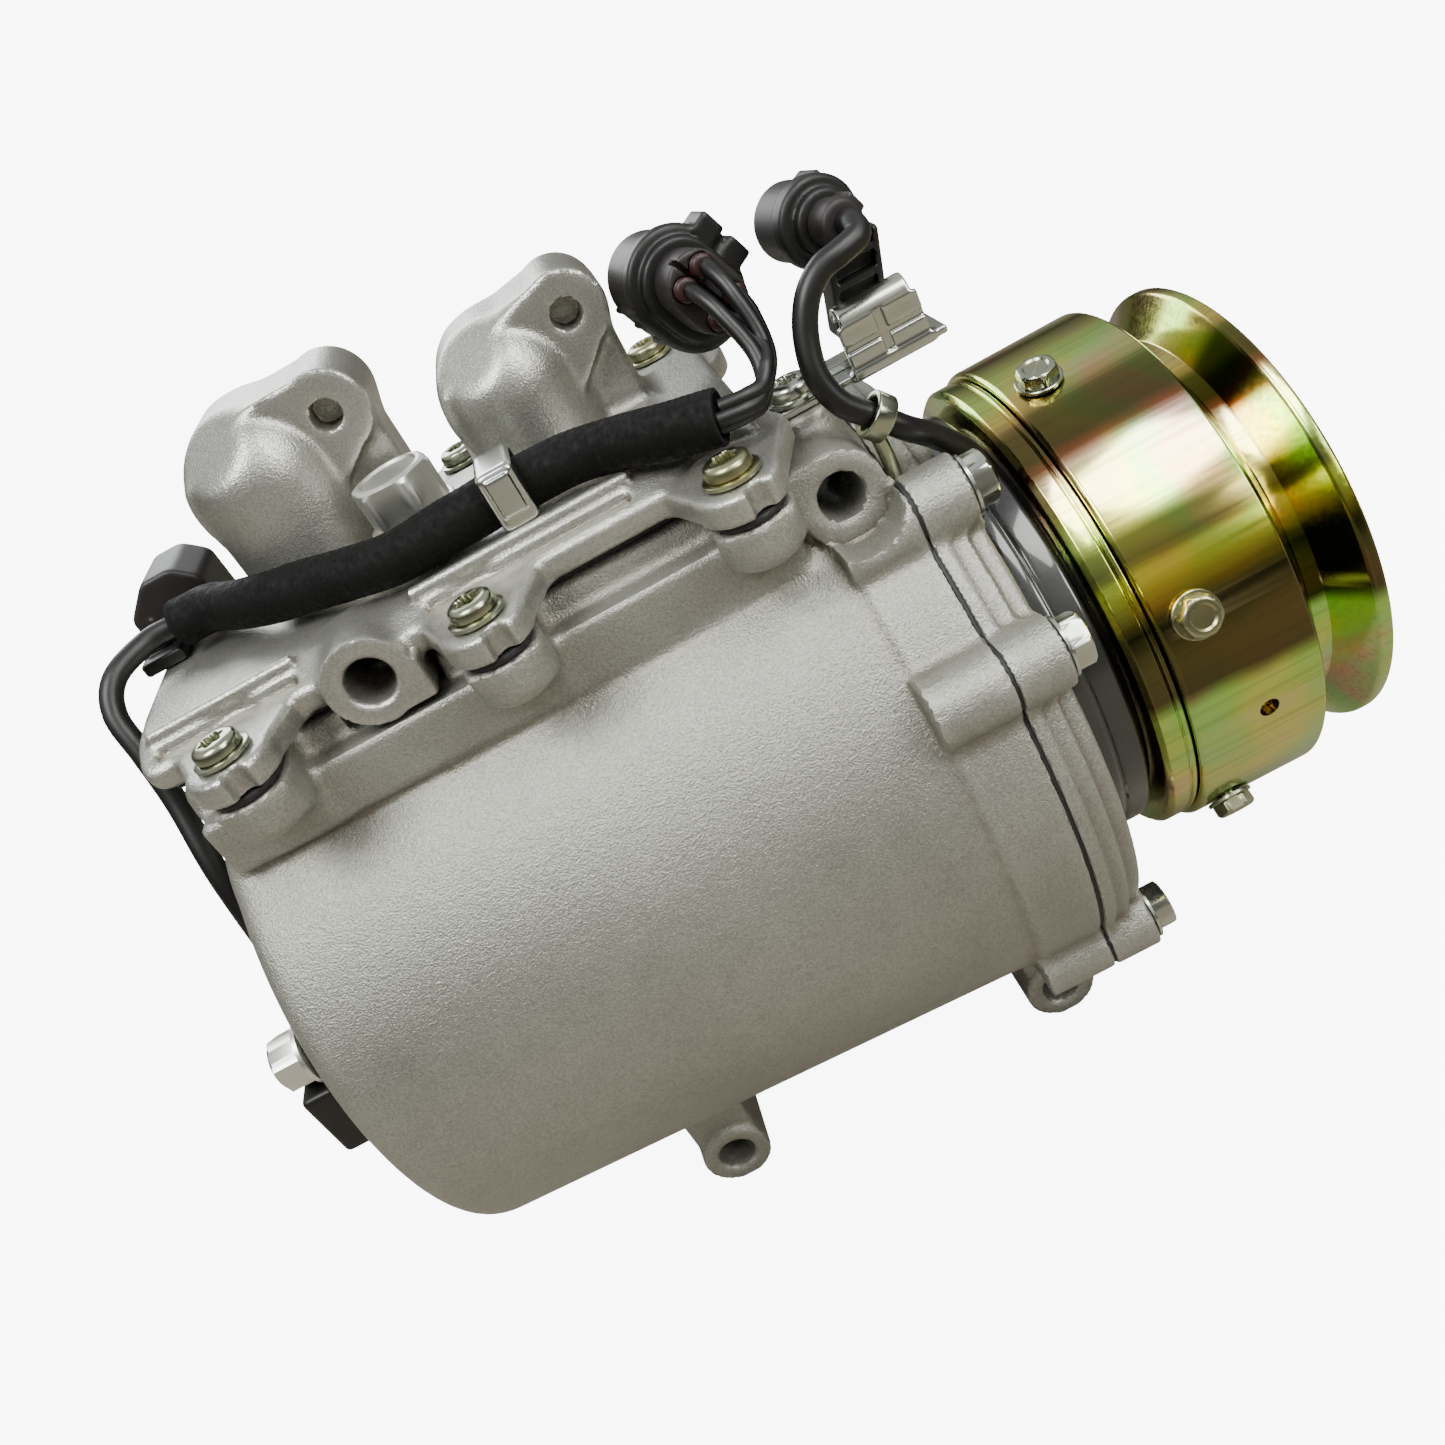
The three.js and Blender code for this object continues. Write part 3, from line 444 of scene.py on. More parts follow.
def rear_housing(x, y, z):
    """The long casting. Outside: a slightly conical can with a rounded rear edge, joined with the
    bolted flange, the pad under the port cover, six screw bosses on webs, the mounting lugs and the
    near side's ledge. Then the bores and the hollow for the scrolls are cut out of it."""
    rho = hypot(y, z)
    side = np.abs(y)
    wall = 69 + (x + 141.2) * (4.4 / 137.5)
    f = np.maximum(meet(rho - wall, REAR_X - x, 7), x + 3.7)

    flange = meet(rho - 74.3, slab(x, -4.6, REAR_CASTING_END_X), 0.8)
    for cy, cz in at_bolts():
        flange = join(flange, rod_x(x, y, z, cy, cz, BOSS_R, -5.6, REAR_CASTING_END_X, 0.3), 2.5)
    f = join(f, flange, 1.6)

    f = join(f, block(x, y, z, (-143, -9), (-34, 34), (45, PAD_TOP_Z), 4), 6)
    for sx in SCREW_XS:
        boss = rod_z(x, side, z, sx, SCREW_Y, BOSS_R, 70, PAD_TOP_Z + 6, 4)
        web = meet(slab(x, sx - 6.6, sx + 6.6), 0.743 * (side - 38) - 0.669 * (z - 61), 3)
        web = np.maximum(web, slab(z, 50, PAD_TOP_Z + 6))
        web = np.maximum(web, slab(side, 26, 52))
        f = join(f, join(boss, web, 4), 3.5)

    # the upper front lug, whose face stands clear of the flange boss in front of it
    lug = join(
        rod_y(x, y, z, 0, FRONT_LUG_Z, LUG_R, LUG_FACE_Y, -12, 1.0),
        block(x, y, z, (-10, 3), (LUG_FACE_Y + 0.5, -12), (FRONT_LUG_Z, FRONT_LUG_Z + 9.1), 1.4), 0.8)
    f = join(f, lug, 3)
    f = cut(f, np.maximum(hypot(x, z - FRONT_LUG_Z) - LUG_R - 0.4, y - LUG_FACE_Y), 0.5)
    f = join(f, rod_z(x, y, z, 2, -20, 7, 60, 82.9, 0.8), 3)

    for lx, low, high in ((REAR_LUG_X, -8.2, 8.2), (0.0, -7.2, 8.2)):
        lug = join(
            rod_y(x, y, z, lx, LOWER_LUG_Z, LUG_R, -LOWER_LUG_HALF, LOWER_LUG_HALF, 1.0),
            block(x, y, z, (lx + low, lx + high), (-30.5, 30.5), (LOWER_LUG_Z, -55), 2), 1.5)
        f = join(f, lug, 5)

    # the pad's top face, then the room for the scrolls and, in front, the counterweight
    f = cut(f, np.maximum(x + 9.4, PAD_TOP_Z - z), 0.7)
    room = join(rod_x(x, y, z, 0, 0, 56, -139.2, 20, 7), rod_x(x, y, z, 0, 0, 60, -68, 20), 0.5)
    f = cut(f, room, 0.7)

    ledge = block(x, y, z, (-141, -12), (-41, -30), (60, 73.2), 1.6)
    ledge = meet(ledge, -(y + 41) - 0.75 * (z - 60), 2)
    f = join(f, ledge, 3)
    recess = block(x, y, z, (REAR_LUG_X - 10.4, REAR_LUG_X + 11.2), (-70, -22.5), (73.6, 110), 1)
    f = cut(f, recess, 0.8)

    f = cut(f, lug_bore(x, y, z, 0, FRONT_LUG_Z, LUG_FACE_Y, -12), 0.5)
    for lx in (REAR_LUG_X, 0.0):
        f = cut(f, lug_bore(x, y, z, lx, LOWER_LUG_Z, -LOWER_LUG_HALF, LOWER_LUG_HALF), 0.5)
    for cy, cz in at_bolts(BOLT_ANGLES[1:]):
        f = cut(f, rod_x(x, y, z, cy, cz, 3.3, 0, 20), 0.4)
    for sx in SCREW_XS:
        f = cut(f, rod_z(x, side, z, sx, SCREW_Y, 2.8, 68, 100), 0.4)
    for tower in TOWERS:
        f = cut(f, rod_z(x, y, z, tower["x"], TOWER_Y, PORT_BORE_R, 50, 100), 0.6)
    return f


def front_housing(x, y, z):
    """The front casting: three steps of falling radius with a boss for each bolt, a spigot behind
    and the nose in front, bored for the shaft's bearing and seal and for the scroll's four pins."""
    rho = hypot(y, z)
    f = meet(rho - 74.6, slab(x, FRONT_CASTING_START_X, 13.4), 0.8)
    f = join(f, meet(rho - 73.4, slab(x, 11.5, 17.4), 1.0), 1.2)
    f = join(f, meet(rho - 71.4, slab(x, 11.5, FACE_X), 2.0), 1.4)
    for cy, cz in at_bolts():
        f = join(f, rod_x(x, y, z, cy, cz, BOSS_R, FRONT_CASTING_START_X, FACE_X, 0.6), 2.6)
    f = np.maximum(f, FRONT_CASTING_START_X - x)
    f = join(f, meet(rho - 59.7, slab(x, -5.4, 15), 0.8), 0.6)
    f = join(f, meet(rho - 22, slab(x, 14, NOSE_END_X), 0.8), 2)
    for r, x0, x1 in ((40, -9, 16), (21, 10, 29.5), (14.5, 20, 42), (18, 30.5, 39.5), (16, 42, 80)):
        f = cut(f, rod_x(x, y, z, 0, 0, r, x0, x1), 0.6)
    for cy, cz in at_bolts():
        f = cut(f, rod_x(x, y, z, cy, cz, 3.4, 0, 40), 0.4)
    for angle in (45, 135, 225, 315):
        cy, cz = around(49.5, angle)
        f = cut(f, rod_x(x, y, z, cy, cz, 7.3, -9, 0.6), 0.5)
    return f


def port_tower(x, y, z, t):
    """An elbow that rises from the cover and turns to its far side: a post, a ball and a mouth of
    one radius, with a flange ear for the hose's bolt, a web under the ear and a flat on the back."""
    (tx, tz, r), (ear_x, ear_z) = (t["x"], t["z"], t["r"]), t["ear"]
    post = rod_z(x, y, z, tx, TOWER_Y, r, 84, tz, 0.1)
    ball = np.sqrt((x - tx) ** 2 + (y - TOWER_Y) ** 2 + (z - tz) ** 2) - r
    ball = np.maximum(ball, y - PORT_Y)
    mouth = rod_y(x, y, z, tx, tz, r, TOWER_Y, PORT_Y, 0.8)
    elbow = np.minimum(np.minimum(post, ball), mouth)
    ear = meet(stadium(x, z, (tx, tz), t["ear"], r - 0.4, t["ear_r"]), slab(y, 0, PORT_Y), 1.0)
    dent = stadium(x, z, (ear_x - 11, ear_z + 1), (ear_x - 9, ear_z - 6), 1.2, 2.2)
    ear = cut(ear, np.maximum(dent, y - 1.6), 0.6)
    web = block(x, y, z, (tx, ear_x + t["ear_r"] - 1.5), (4, PORT_Y - 3), (85, ear_z), 2)
    flat = 0.31 * (tx - x) - 0.55 * y + 0.77 * (z - tz) - r * 0.86 + 4.4
    return meet(join(join(elbow, ear, 1.6), web, 3), flat, 1.2)


def head_cover(x, y, z):
    """The port cover: a plateau with falling sides and a well at each screw, a pad under each screw
    head, two port towers, the relief valve's boss, the rear lug, and slots and rails along the near
    side; then its bores. It ends level at the top, where the taller tower is trimmed."""
    side = np.abs(y)
    top = meet(z - 91.5, ((side - 24) + 7 * (z - 91.5)) / 7.07, 1.0)
    top = meet(top, (3.5 * (side - 31) + 7 * (z - 90.5)) / 7.83, 1.0)
    f = meet(top, block(x, y, z, (-144, -8), (-38, 38), (COVER_Z, 100), 4), 1.4)
    for sx in SCREW_XS:
        well = stadium(x, side, (sx, SCREW_Y + 2), (sx, SCREW_Y - 6), 11, 10)
        f = cut(f, meet(well, SCREW_SEAT_Z - z, 0.8), 2.0)
    for sx in SCREW_XS:
        pad = stadium(x, side, (sx, SCREW_Y), (sx, 32), 9, 15)
        f = join(f, meet(pad, slab(z, COVER_Z, SCREW_SEAT_Z), 1.6), 1.2)
    for t in TOWERS:
        f = join(f, port_tower(x, y, z, t), 4)
    f = join(f, rod_z(x, y, z, VALVE_X, VALVE_Y, 11, 84, VALVE_SEAT_Z, 0.9), 3)
    lug = np.minimum(
        rod_y(x, y, z, REAR_LUG_X, COVER_LUG_Z, LUG_R, LUG_FACE_Y, -24, 0.6),
        block(x, y, z, (REAR_LUG_X - 1, REAR_LUG_X + LUG_R + 0.8), (LUG_FACE_Y, -24), (74.4, 84), 1.2))
    f = join(f, lug, 2.5)
    for x0, x1 in ((-139, -110), (-79, -37)):
        slot = meet(stadium(x, y, (x0, -34.4), (x1, -34.4), 1.5, 1.5), 87.6 - z, 0.5)
        f = cut(f, slot, 0.7)
    for t in TOWERS:
        ear_x, ear_z = t["ear"]
        f = cut(f, rod_z(x, y, z, t["x"], TOWER_Y, PORT_BORE_R, 60, t["z"]), 0.6)
        f = cut(f, rod_y(x, y, z, t["x"], t["z"], PORT_BORE_R, TOWER_Y - 5, 40, 4), 0.8)
        f = cut(f, rod_y(x, y, z, ear_x, ear_z, 3.3, -9, 7), 0.6)
        f = cut(f, rod_y(x, y, z, ear_x, ear_z, 3.3, 10, 40), 0.6)
    f = cut(f, rod_z(x, y, z, VALVE_X, VALVE_Y, 6.3, 60, 120), 0.5)
    f = cut(f, lug_bore(x, y, z, REAR_LUG_X, COVER_LUG_Z, LUG_FACE_Y, -18), 0.5)
    for sx in SCREW_XS:
        f = cut(f, rod_z(x, side, z, sx, SCREW_Y, 3.3, 60, 120), 0.4)
        f = cut(f, rod_z(x, side, z, sx + 2.5, SCREW_Y + 8.4, 2.4, 60, 120), 0.6)
    for x0, x1 in ((-141, -108), (-82, -34)):
        rail = meet(stadium(y, z, (-30.6, 90.6), (-30.6, 91), 1.3, 1.3), slab(x, x0, x1), 0.6)
        f = join(f, rail, 0.9)
    return np.maximum(f, z - 131.45)


def make_castings():
    """The three castings, skinned from their fields, then thinned to a share of their faces."""
    cast = cast_aluminium("cast aluminium", (0.37, 0.37, 0.33), 0.46, 0.6)
    cover = cast_aluminium("cover aluminium", (0.43, 0.43, 0.39), 0.33, 0.35)
    MATERIALS.update(cast_aluminium=cast, cover_aluminium=cover)
    mesh = field_skin(rear_housing, (-149, -84, -97), (11, 84, 84.5), 1.2)
    piece("rear_housing_casting", mesh, cast, "housing", ["rear_housing"],
          keep=0.5)
    mesh = field_skin(front_housing, (-7, -84, -84), (66, 84, 84), 0.95)
    piece("front_housing_casting", mesh, cast, "housing", ["front_housing"],
          keep=0.5)
    mesh = field_skin(head_cover, (-146, -59, 72.5), (0, 59, 133), 0.85)
    piece("port_cover_casting", mesh, cover, "housing", ["head_cover"],
          keep=0.7)


# ---------------------------------------------------------------- gaskets

def front_gasket():
    """A flat ring 0.7 mm thick whose outer radius swells to a circle round each bolt: for a bolt at
    angle b, that is R cos(t - b) + sqrt(e^2 - R^2 sin^2(t - b)), R the bolt circle, e the ear."""
    t = TAU * np.arange(1080) / 1080
    outer = np.full(t.shape, 73.8)
    for angle in BOLT_ANGLES:
        off = t - np.radians(180 - angle)
        off = (off + np.pi) % TAU - np.pi
        under = 6.9 ** 2 - (BOLT_CIRCLE_R * np.sin(off)) ** 2
        ear = BOLT_CIRCLE_R * np.cos(off) + np.sqrt(np.maximum(under, 0))
        outer = np.where((under > 0) & (np.cos(off) > 0), np.maximum(outer, ear), outer)
    inner = np.full(t.shape, 61.5)
    rear_x, front_x = JOINT_X + 0.15, JOINT_X + 0.85
    rows = []
    for x, r in ((rear_x, inner), (rear_x, outer), (front_x, outer), (front_x, inner)):
        rows.append(np.stack([x + 0 * t, r * np.cos(t), r * np.sin(t)], 1))
    return outward(np.stack(rows, 1).reshape(-1, 3), grid_quads(len(t), 4))


def head_gasket(x, y, z):
    """A sheet under the port cover, with an ear at each screw and round holes for the passages."""
    side = np.abs(y)
    f = block(x, y, z, (-142.5, -9.5), (-33.5, 33.5), (60, 100), 3)
    for sx in SCREW_XS:
        f = join(f, stadium(x, side, (sx, SCREW_Y), (sx, 31), 7.3, 7.3), 3)
        f = np.maximum(f, 3.4 - hypot(x - sx, side - SCREW_Y))
    for t in TOWERS:
        f = np.maximum(f, 10 - hypot(x - t["x"], y - TOWER_Y))
    f = np.maximum(f, 7 - hypot(x - VALVE_X, y - VALVE_Y))
    f = np.maximum(f, -np.maximum(slab(x, REAR_LUG_X - 11.8, REAR_LUG_X + 11.8), y + 22))
    return np.maximum(f, slab(z, 79.8, 81.1))


def make_gaskets():
    """The gasket ring in the housing's joint and the flat one under the port cover."""
    black = rubber("gasket", (0.012, 0.012, 0.013), 0.6)
    ring = piece("front_gasket_sheet", front_gasket(), black, "housing", ["front_gasket"],
                 sharp=50)
    drill(ring, [((5, cy, cz), (15, cy, cz), 3.6) for cy, cz in at_bolts()])
    mesh = field_skin(head_gasket, (-145, -58, 79.3), (-7, 58, 81.6), (1.1, 1.1, 0.35))
    piece("cover_gasket_sheet", mesh, black, "housing", ["head_gasket"], sharp=50)


# ---------------------------------------------------------------- materials

def node(tree, kind, settings=None, **inputs):
    """A node with its settings and inputs. An input is a value or another node's output, and its
    name is the socket's, or n and the socket's number."""
    made = tree.nodes.new(kind)
    for key, value in (settings or {}).items():
        setattr(made, key, value)
    for key, value in inputs.items():
        numbered = key[0] == "n" and key[1:].isdigit()
        socket = made.inputs[int(key[1:]) if numbered else key.replace("_", " ")]
        if isinstance(value, bpy.types.NodeSocket):
            tree.links.new(value, socket)
        else:
            socket.default_value = value
    return made


def maths(tree, operation, a, b=0.0, clamp=False):
    """One sum on two values, held between 0 and 1 when clamp is on."""
    settings = {"operation": operation, "use_clamp": clamp}
    return node(tree, "ShaderNodeMath", settings, n0=a, n1=b).outputs[0]


def ramp(tree, factor, stops):
    """A colour ramp of (place, colour or grey) stops."""
    made = node(tree, "ShaderNodeValToRGB", None, Fac=factor)
    elements = made.color_ramp.elements
    while len(elements) < len(stops):
        elements.new(0.5)
    for element, (place, colour) in zip(elements, stops):
        element.position = place
        element.color = (*colour, 1) if isinstance(colour, tuple) else (colour, colour, colour, 1)
    return made.outputs[0]


def mix(tree, factor, a, b, blend="MIX"):
    """a where factor is 0 and b where it is 1, or b laid on a in the blend named."""
    made = tree.nodes.new("ShaderNodeMix")
    made.data_type = "RGBA"
    made.blend_type = blend
    for place, value in ((0, factor), (6, a), (7, b)):
        if isinstance(value, bpy.types.NodeSocket):
            tree.links.new(value, made.inputs[place])
        else:
            made.inputs[place].default_value = (*value, 1) if isinstance(value, tuple) else value
    return made.outputs[2]


def noise(tree, scale, detail=3.0, stretch=(1, 1, 1), rough=0.5):
    """Noise in object space, scale in cycles per metre, drawn out by stretch."""
    where = node(tree, "ShaderNodeTexCoord").outputs["Object"]
    sized = node(tree, "ShaderNodeMapping", None, Vector=where, Scale=stretch).outputs[0]
    made = node(tree, "ShaderNodeTexNoise", None, Vector=sized, Scale=scale, Detail=detail,
                Roughness=rough)
    return made.outputs[0]


def make_group(name, inputs, build):
    """A node group with float inputs, whose build(tree, given) returns its {output: socket}."""
    tree = bpy.data.node_groups.new(name, "ShaderNodeTree")
    number = "NodeSocketFloat"
    for label, value in inputs.items():
        socket = tree.interface.new_socket(name=label, in_out="INPUT", socket_type=number)
        socket.default_value = value
    given = node(tree, "NodeGroupInput").outputs
    made = build(tree, given)
    for label in made:
        tree.interface.new_socket(name=label, in_out="OUTPUT", socket_type=number)
    out = node(tree, "NodeGroupOutput")
    for label, socket in made.items():
        tree.links.new(socket, out.inputs[label])
    return tree


def use(tree, group, output, **inputs):
    """One output of a group, placed in a material with its own values."""
    made = tree.nodes.new("ShaderNodeGroup")
    made.node_tree = group
    for key, value in inputs.items():
        made.inputs[key].default_value = value
    return made.outputs[output]


def build_grain(tree, given):
    """Blasted skin: fine noise with the pits of a coarser one."""
    fine = noise(tree, 2400, 2)
    coarse = noise(tree, 900, 2)
    return {"Height": maths(tree, "ADD", fine, maths(tree, "MULTIPLY", coarse, given["Coarse"]))}


def build_wear_and_painted_shade(tree, given):
    """1 on outer edges and 0 elsewhere, from how far the surface there is convex, or in hollows when
    the sharpness is below 0. It masks edge wear, and also painted shade in hollows and the painted
    highlight on the braid's crests.
    """
    point = node(tree, "ShaderNodeNewGeometry").outputs["Pointiness"]
    edge = maths(tree, "MULTIPLY", maths(tree, "SUBTRACT", point, 0.5), given["Sharpness"], clamp=True)
    return {"Edge": edge}


def build_mottle(tree, given):
    """Large soft patches with small ones in them, from 0 to 1."""
    large = noise(tree, 22, 3)
    small = noise(tree, 160, 2)
    both = maths(tree, "ADD", maths(tree, "MULTIPLY", large, 0.75), maths(tree, "MULTIPLY", small, 0.25))
    spread = maths(tree, "MULTIPLY", maths(tree, "SUBTRACT", both, 0.5), given["Contrast"])
    return {"Patch": maths(tree, "ADD", spread, 0.5, clamp=True)}


GRAIN = make_group("cast grain", {"Coarse": 0.6}, build_grain)
# masks for edge wear, and for painted shade in hollows and painted highlight on the braid's crests
WEAR_AND_PAINTED_SHADE = make_group("edge wear and painted shade", {"Sharpness": 9.0}, build_wear_and_painted_shade)
MOTTLE = make_group("mottle", {"Contrast": 2.2}, build_mottle)


def new_material(name, **values):
    """A material with one Principled shader set to the given values; returns it and its parts."""
    made = bpy.data.materials.new(name)
    made.use_nodes = True
    tree = made.node_tree
    shader = tree.nodes["Principled BSDF"]
    for key, value in values.items():
        shader.inputs[key.replace("_", " ")].default_value = value
    return made, tree, shader


def bump(tree, shader, height, strength, distance=0.0002):
    """Lets a height from 0 to 1 tilt the surface, distance metres high."""
    made = node(tree, "ShaderNodeBump", None, Height=height, Strength=strength, Distance=distance)
    tree.links.new(made.outputs[0], shader.inputs["Normal"])


def paint(tree, shader, colour, roughness):
    """Links a colour and a roughness that change over the surface."""
    tree.links.new(colour, shader.inputs["Base Color"])
    tree.links.new(roughness, shader.inputs["Roughness"])


def around_value(tree, value, base, spread):
    """base, give or take half of spread as value goes from 0 to 1."""
    return maths(tree, "ADD", maths(tree, "MULTIPLY", value, spread), base - spread / 2)


def shade(colour, k):
    """A colour k times as bright."""
    return tuple(min(1.0, c * k) for c in colour)


def cast_aluminium(name, colour, roughness, grain):
    """Blasted casting: soft patches, bright worn edges, painted shade with a warm-brown painted
    reflection in the hollows, fine speckle.
    """
    made, tree, shader = new_material(name, Metallic=0.8)
    patch = use(tree, MOTTLE, "Patch")
    tone = mix(tree, patch, shade(colour, 0.84), shade(colour, 1.08))
    edge = use(tree, WEAR_AND_PAINTED_SHADE, "Edge", Sharpness=7.0)
    # painted shade: the hollows darken towards warm brown, painted shade with a painted warm reflection
    hollow = use(tree, WEAR_AND_PAINTED_SHADE, "Edge", Sharpness=-13.0)
    tone = mix(tree, edge, tone, shade(colour, 1.35))
    tone = mix(tree, maths(tree, "MULTIPLY", hollow, 0.75), tone, (0.17, 0.135, 0.09))
    sand = ramp(tree, noise(tree, 1900, 1), ((0.36, 0.78), (0.64, 1.16)))
    tone = mix(tree, 0.6, tone, sand, "MULTIPLY")
    paint(tree, shader, tone, around_value(tree, patch, roughness, 0.12))
    bump(tree, shader, use(tree, GRAIN, "Height"), grain, 0.0004)
    return made


def plated(name, colour, tint, roughness):
    """A plated or machined metal with faint patches of a second tint and worn, brighter edges."""
    made, tree, shader = new_material(name, Metallic=1.0)
    patch = use(tree, MOTTLE, "Patch", Contrast=4.0)
    tone = mix(tree, patch, colour, tint)
    tone = mix(tree, use(tree, WEAR_AND_PAINTED_SHADE, "Edge", Sharpness=5.0), tone, shade(colour, 1.3))
    paint(tree, shader, tone, around_value(tree, patch, roughness, 0.1))
    return made


def rubber(name, colour, roughness, grain=0.15):
    """Rubber or moulded plastic, with soft patches and a fine texture."""
    made, tree, shader = new_material(name, Metallic=0.0)
    patch = use(tree, MOTTLE, "Patch")
    tone = mix(tree, patch, shade(colour, 0.7), shade(colour, 1.4))
    paint(tree, shader, tone, around_value(tree, patch, roughness, 0.14))
    bump(tree, shader, noise(tree, 900, 2), grain)
    return made


def chromate_and_painted_reflections(name):
    """Yellow zinc with painted reflections: stripes of gold, olive, brown and pale green by the angle
    round the shaft are painted highlights and painted shade of the surroundings, where share goes once
    round from 0 to 1, their edges wandering a little; rainbow patches over them, fine drawing lines
    along the shaft, and coppery worn edges."""
    made, tree, shader = new_material(name, Metallic=1.0)
    where = node(tree, "ShaderNodeTexCoord").outputs["Object"]
    split = node(tree, "ShaderNodeSeparateXYZ", None, n0=where).outputs
    turn = maths(tree, "ARCTAN2", split[2], maths(tree, "MULTIPLY", split[1], -1.0))
    share = maths(tree, "ADD", maths(tree, "DIVIDE", turn, TAU), 0.5)
    wander = maths(tree, "SUBTRACT", noise(tree, 30, 3, (0.5, 1, 1)), 0.5)
    share = maths(tree, "ADD", share, maths(tree, "MULTIPLY", wander, 0.022))
    # painted reflections: the stripes by the angle round the shaft are painted highlights, near white,
    # and painted shade, near black, standing for the surroundings
    painted_reflection_bands = ramp(tree, share, (
        (0.000, (0.30, 0.25, 0.08)), (0.060, (0.55, 0.48, 0.20)), (0.120, (0.16, 0.11, 0.04)),
        (0.200, (0.50, 0.50, 0.26)), (0.280, (0.72, 0.62, 0.36)), (0.360, (0.56, 0.68, 0.32)),
        (0.440, (0.80, 0.68, 0.46)), (0.496, (0.62, 0.74, 0.30)), (0.506, (0.055, 0.036, 0.012)),
        (0.540, (0.075, 0.050, 0.012)), (0.556, (0.10, 0.095, 0.018)), (0.564, (0.85, 0.52, 0.10)),
        (0.584, (0.98, 0.80, 0.10)), (0.591, (0.12, 0.10, 0.02)), (0.606, (0.24, 0.25, 0.06)),
        (0.613, (1.00, 0.95, 0.38)), (0.632, (1.00, 1.00, 0.60)), (0.652, (1.0, 0.92, 0.76)),
        (0.659, (0.24, 0.08, 0.04)), (0.668, (0.06, 0.055, 0.014)), (0.694, (0.09, 0.10, 0.025)),
        (0.706, (0.62, 0.46, 0.24)), (0.735, (0.52, 0.62, 0.26)), (0.780, (0.62, 0.68, 0.34)),
        (0.850, (0.15, 0.12, 0.04)), (0.920, (0.66, 0.56, 0.22)), (1.000, (0.30, 0.25, 0.08))))
    stain = noise(tree, 34, 2, (0.8, 1, 1))
    film = ramp(tree, stain, (
        (0.34, (1.0, 0.56, 0.46)), (0.40, (1.0, 0.84, 0.52)), (0.45, (1.0, 1.0, 0.34)),
        (0.51, (0.68, 1.0, 0.32)), (0.57, (0.52, 1.0, 0.50)), (0.65, (1.0, 0.66, 0.62))))
    tone = mix(tree, 0.85, painted_reflection_bands, film, "MULTIPLY")
    lines = noise(tree, 900, 2, (0.012, 1, 1), 0.6)
    streak = ramp(tree, lines, ((0.36, 0.5), (0.5, 1.0)))
    tone = mix(tree, 0.4, tone, streak, "MULTIPLY")
    tone = mix(tree, use(tree, WEAR_AND_PAINTED_SHADE, "Edge", Sharpness=6.0), tone, (0.80, 0.62, 0.34))
    paint(tree, shader, tone, ramp(tree, lines, ((0.3, 0.22), (0.6, 0.12))))
    return made


def woven(name):
    """Black braid: painted highlight on the grey crests and painted shade in the black hollows, by
    how convex the surface is, and a dull shine.
    """
    made, tree, shader = new_material(name, Metallic=0.0, Specular_IOR_Level=0.18)
    lines = noise(tree, 700, 2)
    # painted highlight on the crests and painted shade in the hollows, from the surface's curvature
    crest = use(tree, WEAR_AND_PAINTED_SHADE, "Edge", Sharpness=12.0)
    tone = mix(tree, crest, (0.002, 0.002, 0.002), (0.009, 0.009, 0.009))
    tone = mix(tree, maths(tree, "MULTIPLY", lines, 0.3), tone, (0.007, 0.007, 0.007))
    paint(tree, shader, tone, ramp(tree, lines, ((0.3, 0.6), (0.7, 0.9))))
    bump(tree, shader, lines, 0.5, 0.0003)
    return made


def lacquer(name):
    """Black stoving enamel over pressed steel, glossy, with a little orange peel."""
    made, tree, shader = new_material(name, Metallic=0.35, Coat_Weight=1.0, Coat_Roughness=0.06)
    patch = use(tree, MOTTLE, "Patch")
    tone = mix(tree, patch, (0.012, 0.012, 0.013), (0.035, 0.034, 0.033))
    paint(tree, shader, tone, ramp(tree, patch, ((0.2, 0.2), (0.8, 0.3))))
    bump(tree, shader, noise(tree, 260, 1), 0.08)
    return made


MATERIALS = {
    "bright_zinc": plated("bright zinc", (0.55, 0.58, 0.58), (0.52, 0.53, 0.40), 0.22),
    "green_zinc": plated("greenish zinc", (0.36, 0.39, 0.30), (0.36, 0.35, 0.18), 0.24),
    "machined_aluminium": plated("machined aluminium", (0.76, 0.76, 0.75), (0.68, 0.68, 0.68), 0.28),
    "bearing_steel": plated("bearing steel", (0.55, 0.56, 0.57), (0.46, 0.47, 0.48), 0.22),
    "dark_steel": plated("dark steel", (0.16, 0.16, 0.17), (0.22, 0.21, 0.20), 0.42),
    "satin_steel": plated("satin plug steel", (0.74, 0.75, 0.71), (0.66, 0.67, 0.62), 0.36),
    "yellow_zinc": chromate_and_painted_reflections("yellow zinc with painted reflections"),
    "coil_paint": lacquer("coil lacquer"),
    "seal_rubber": rubber("seal rubber", (0.02, 0.02, 0.02), 0.55),
    "red_seal": rubber("red seal rubber", (0.022, 0.004, 0.004), 0.45),
    "wire": rubber("wire jacket", (0.003, 0.003, 0.003), 0.42, 0.05),
    "woven_sleeve": woven("woven sleeve"),
    "grey_plastic": rubber("grey plastic", (0.013, 0.0105, 0.010), 0.48, 0.1),
    "black_plastic": rubber("black plastic", (0.003, 0.003, 0.003), 0.45, 0.1),
    "gasket": rubber("inner gasket", (0.012, 0.012, 0.013), 0.6),
}


# ---------------------------------------------------------------- fasteners

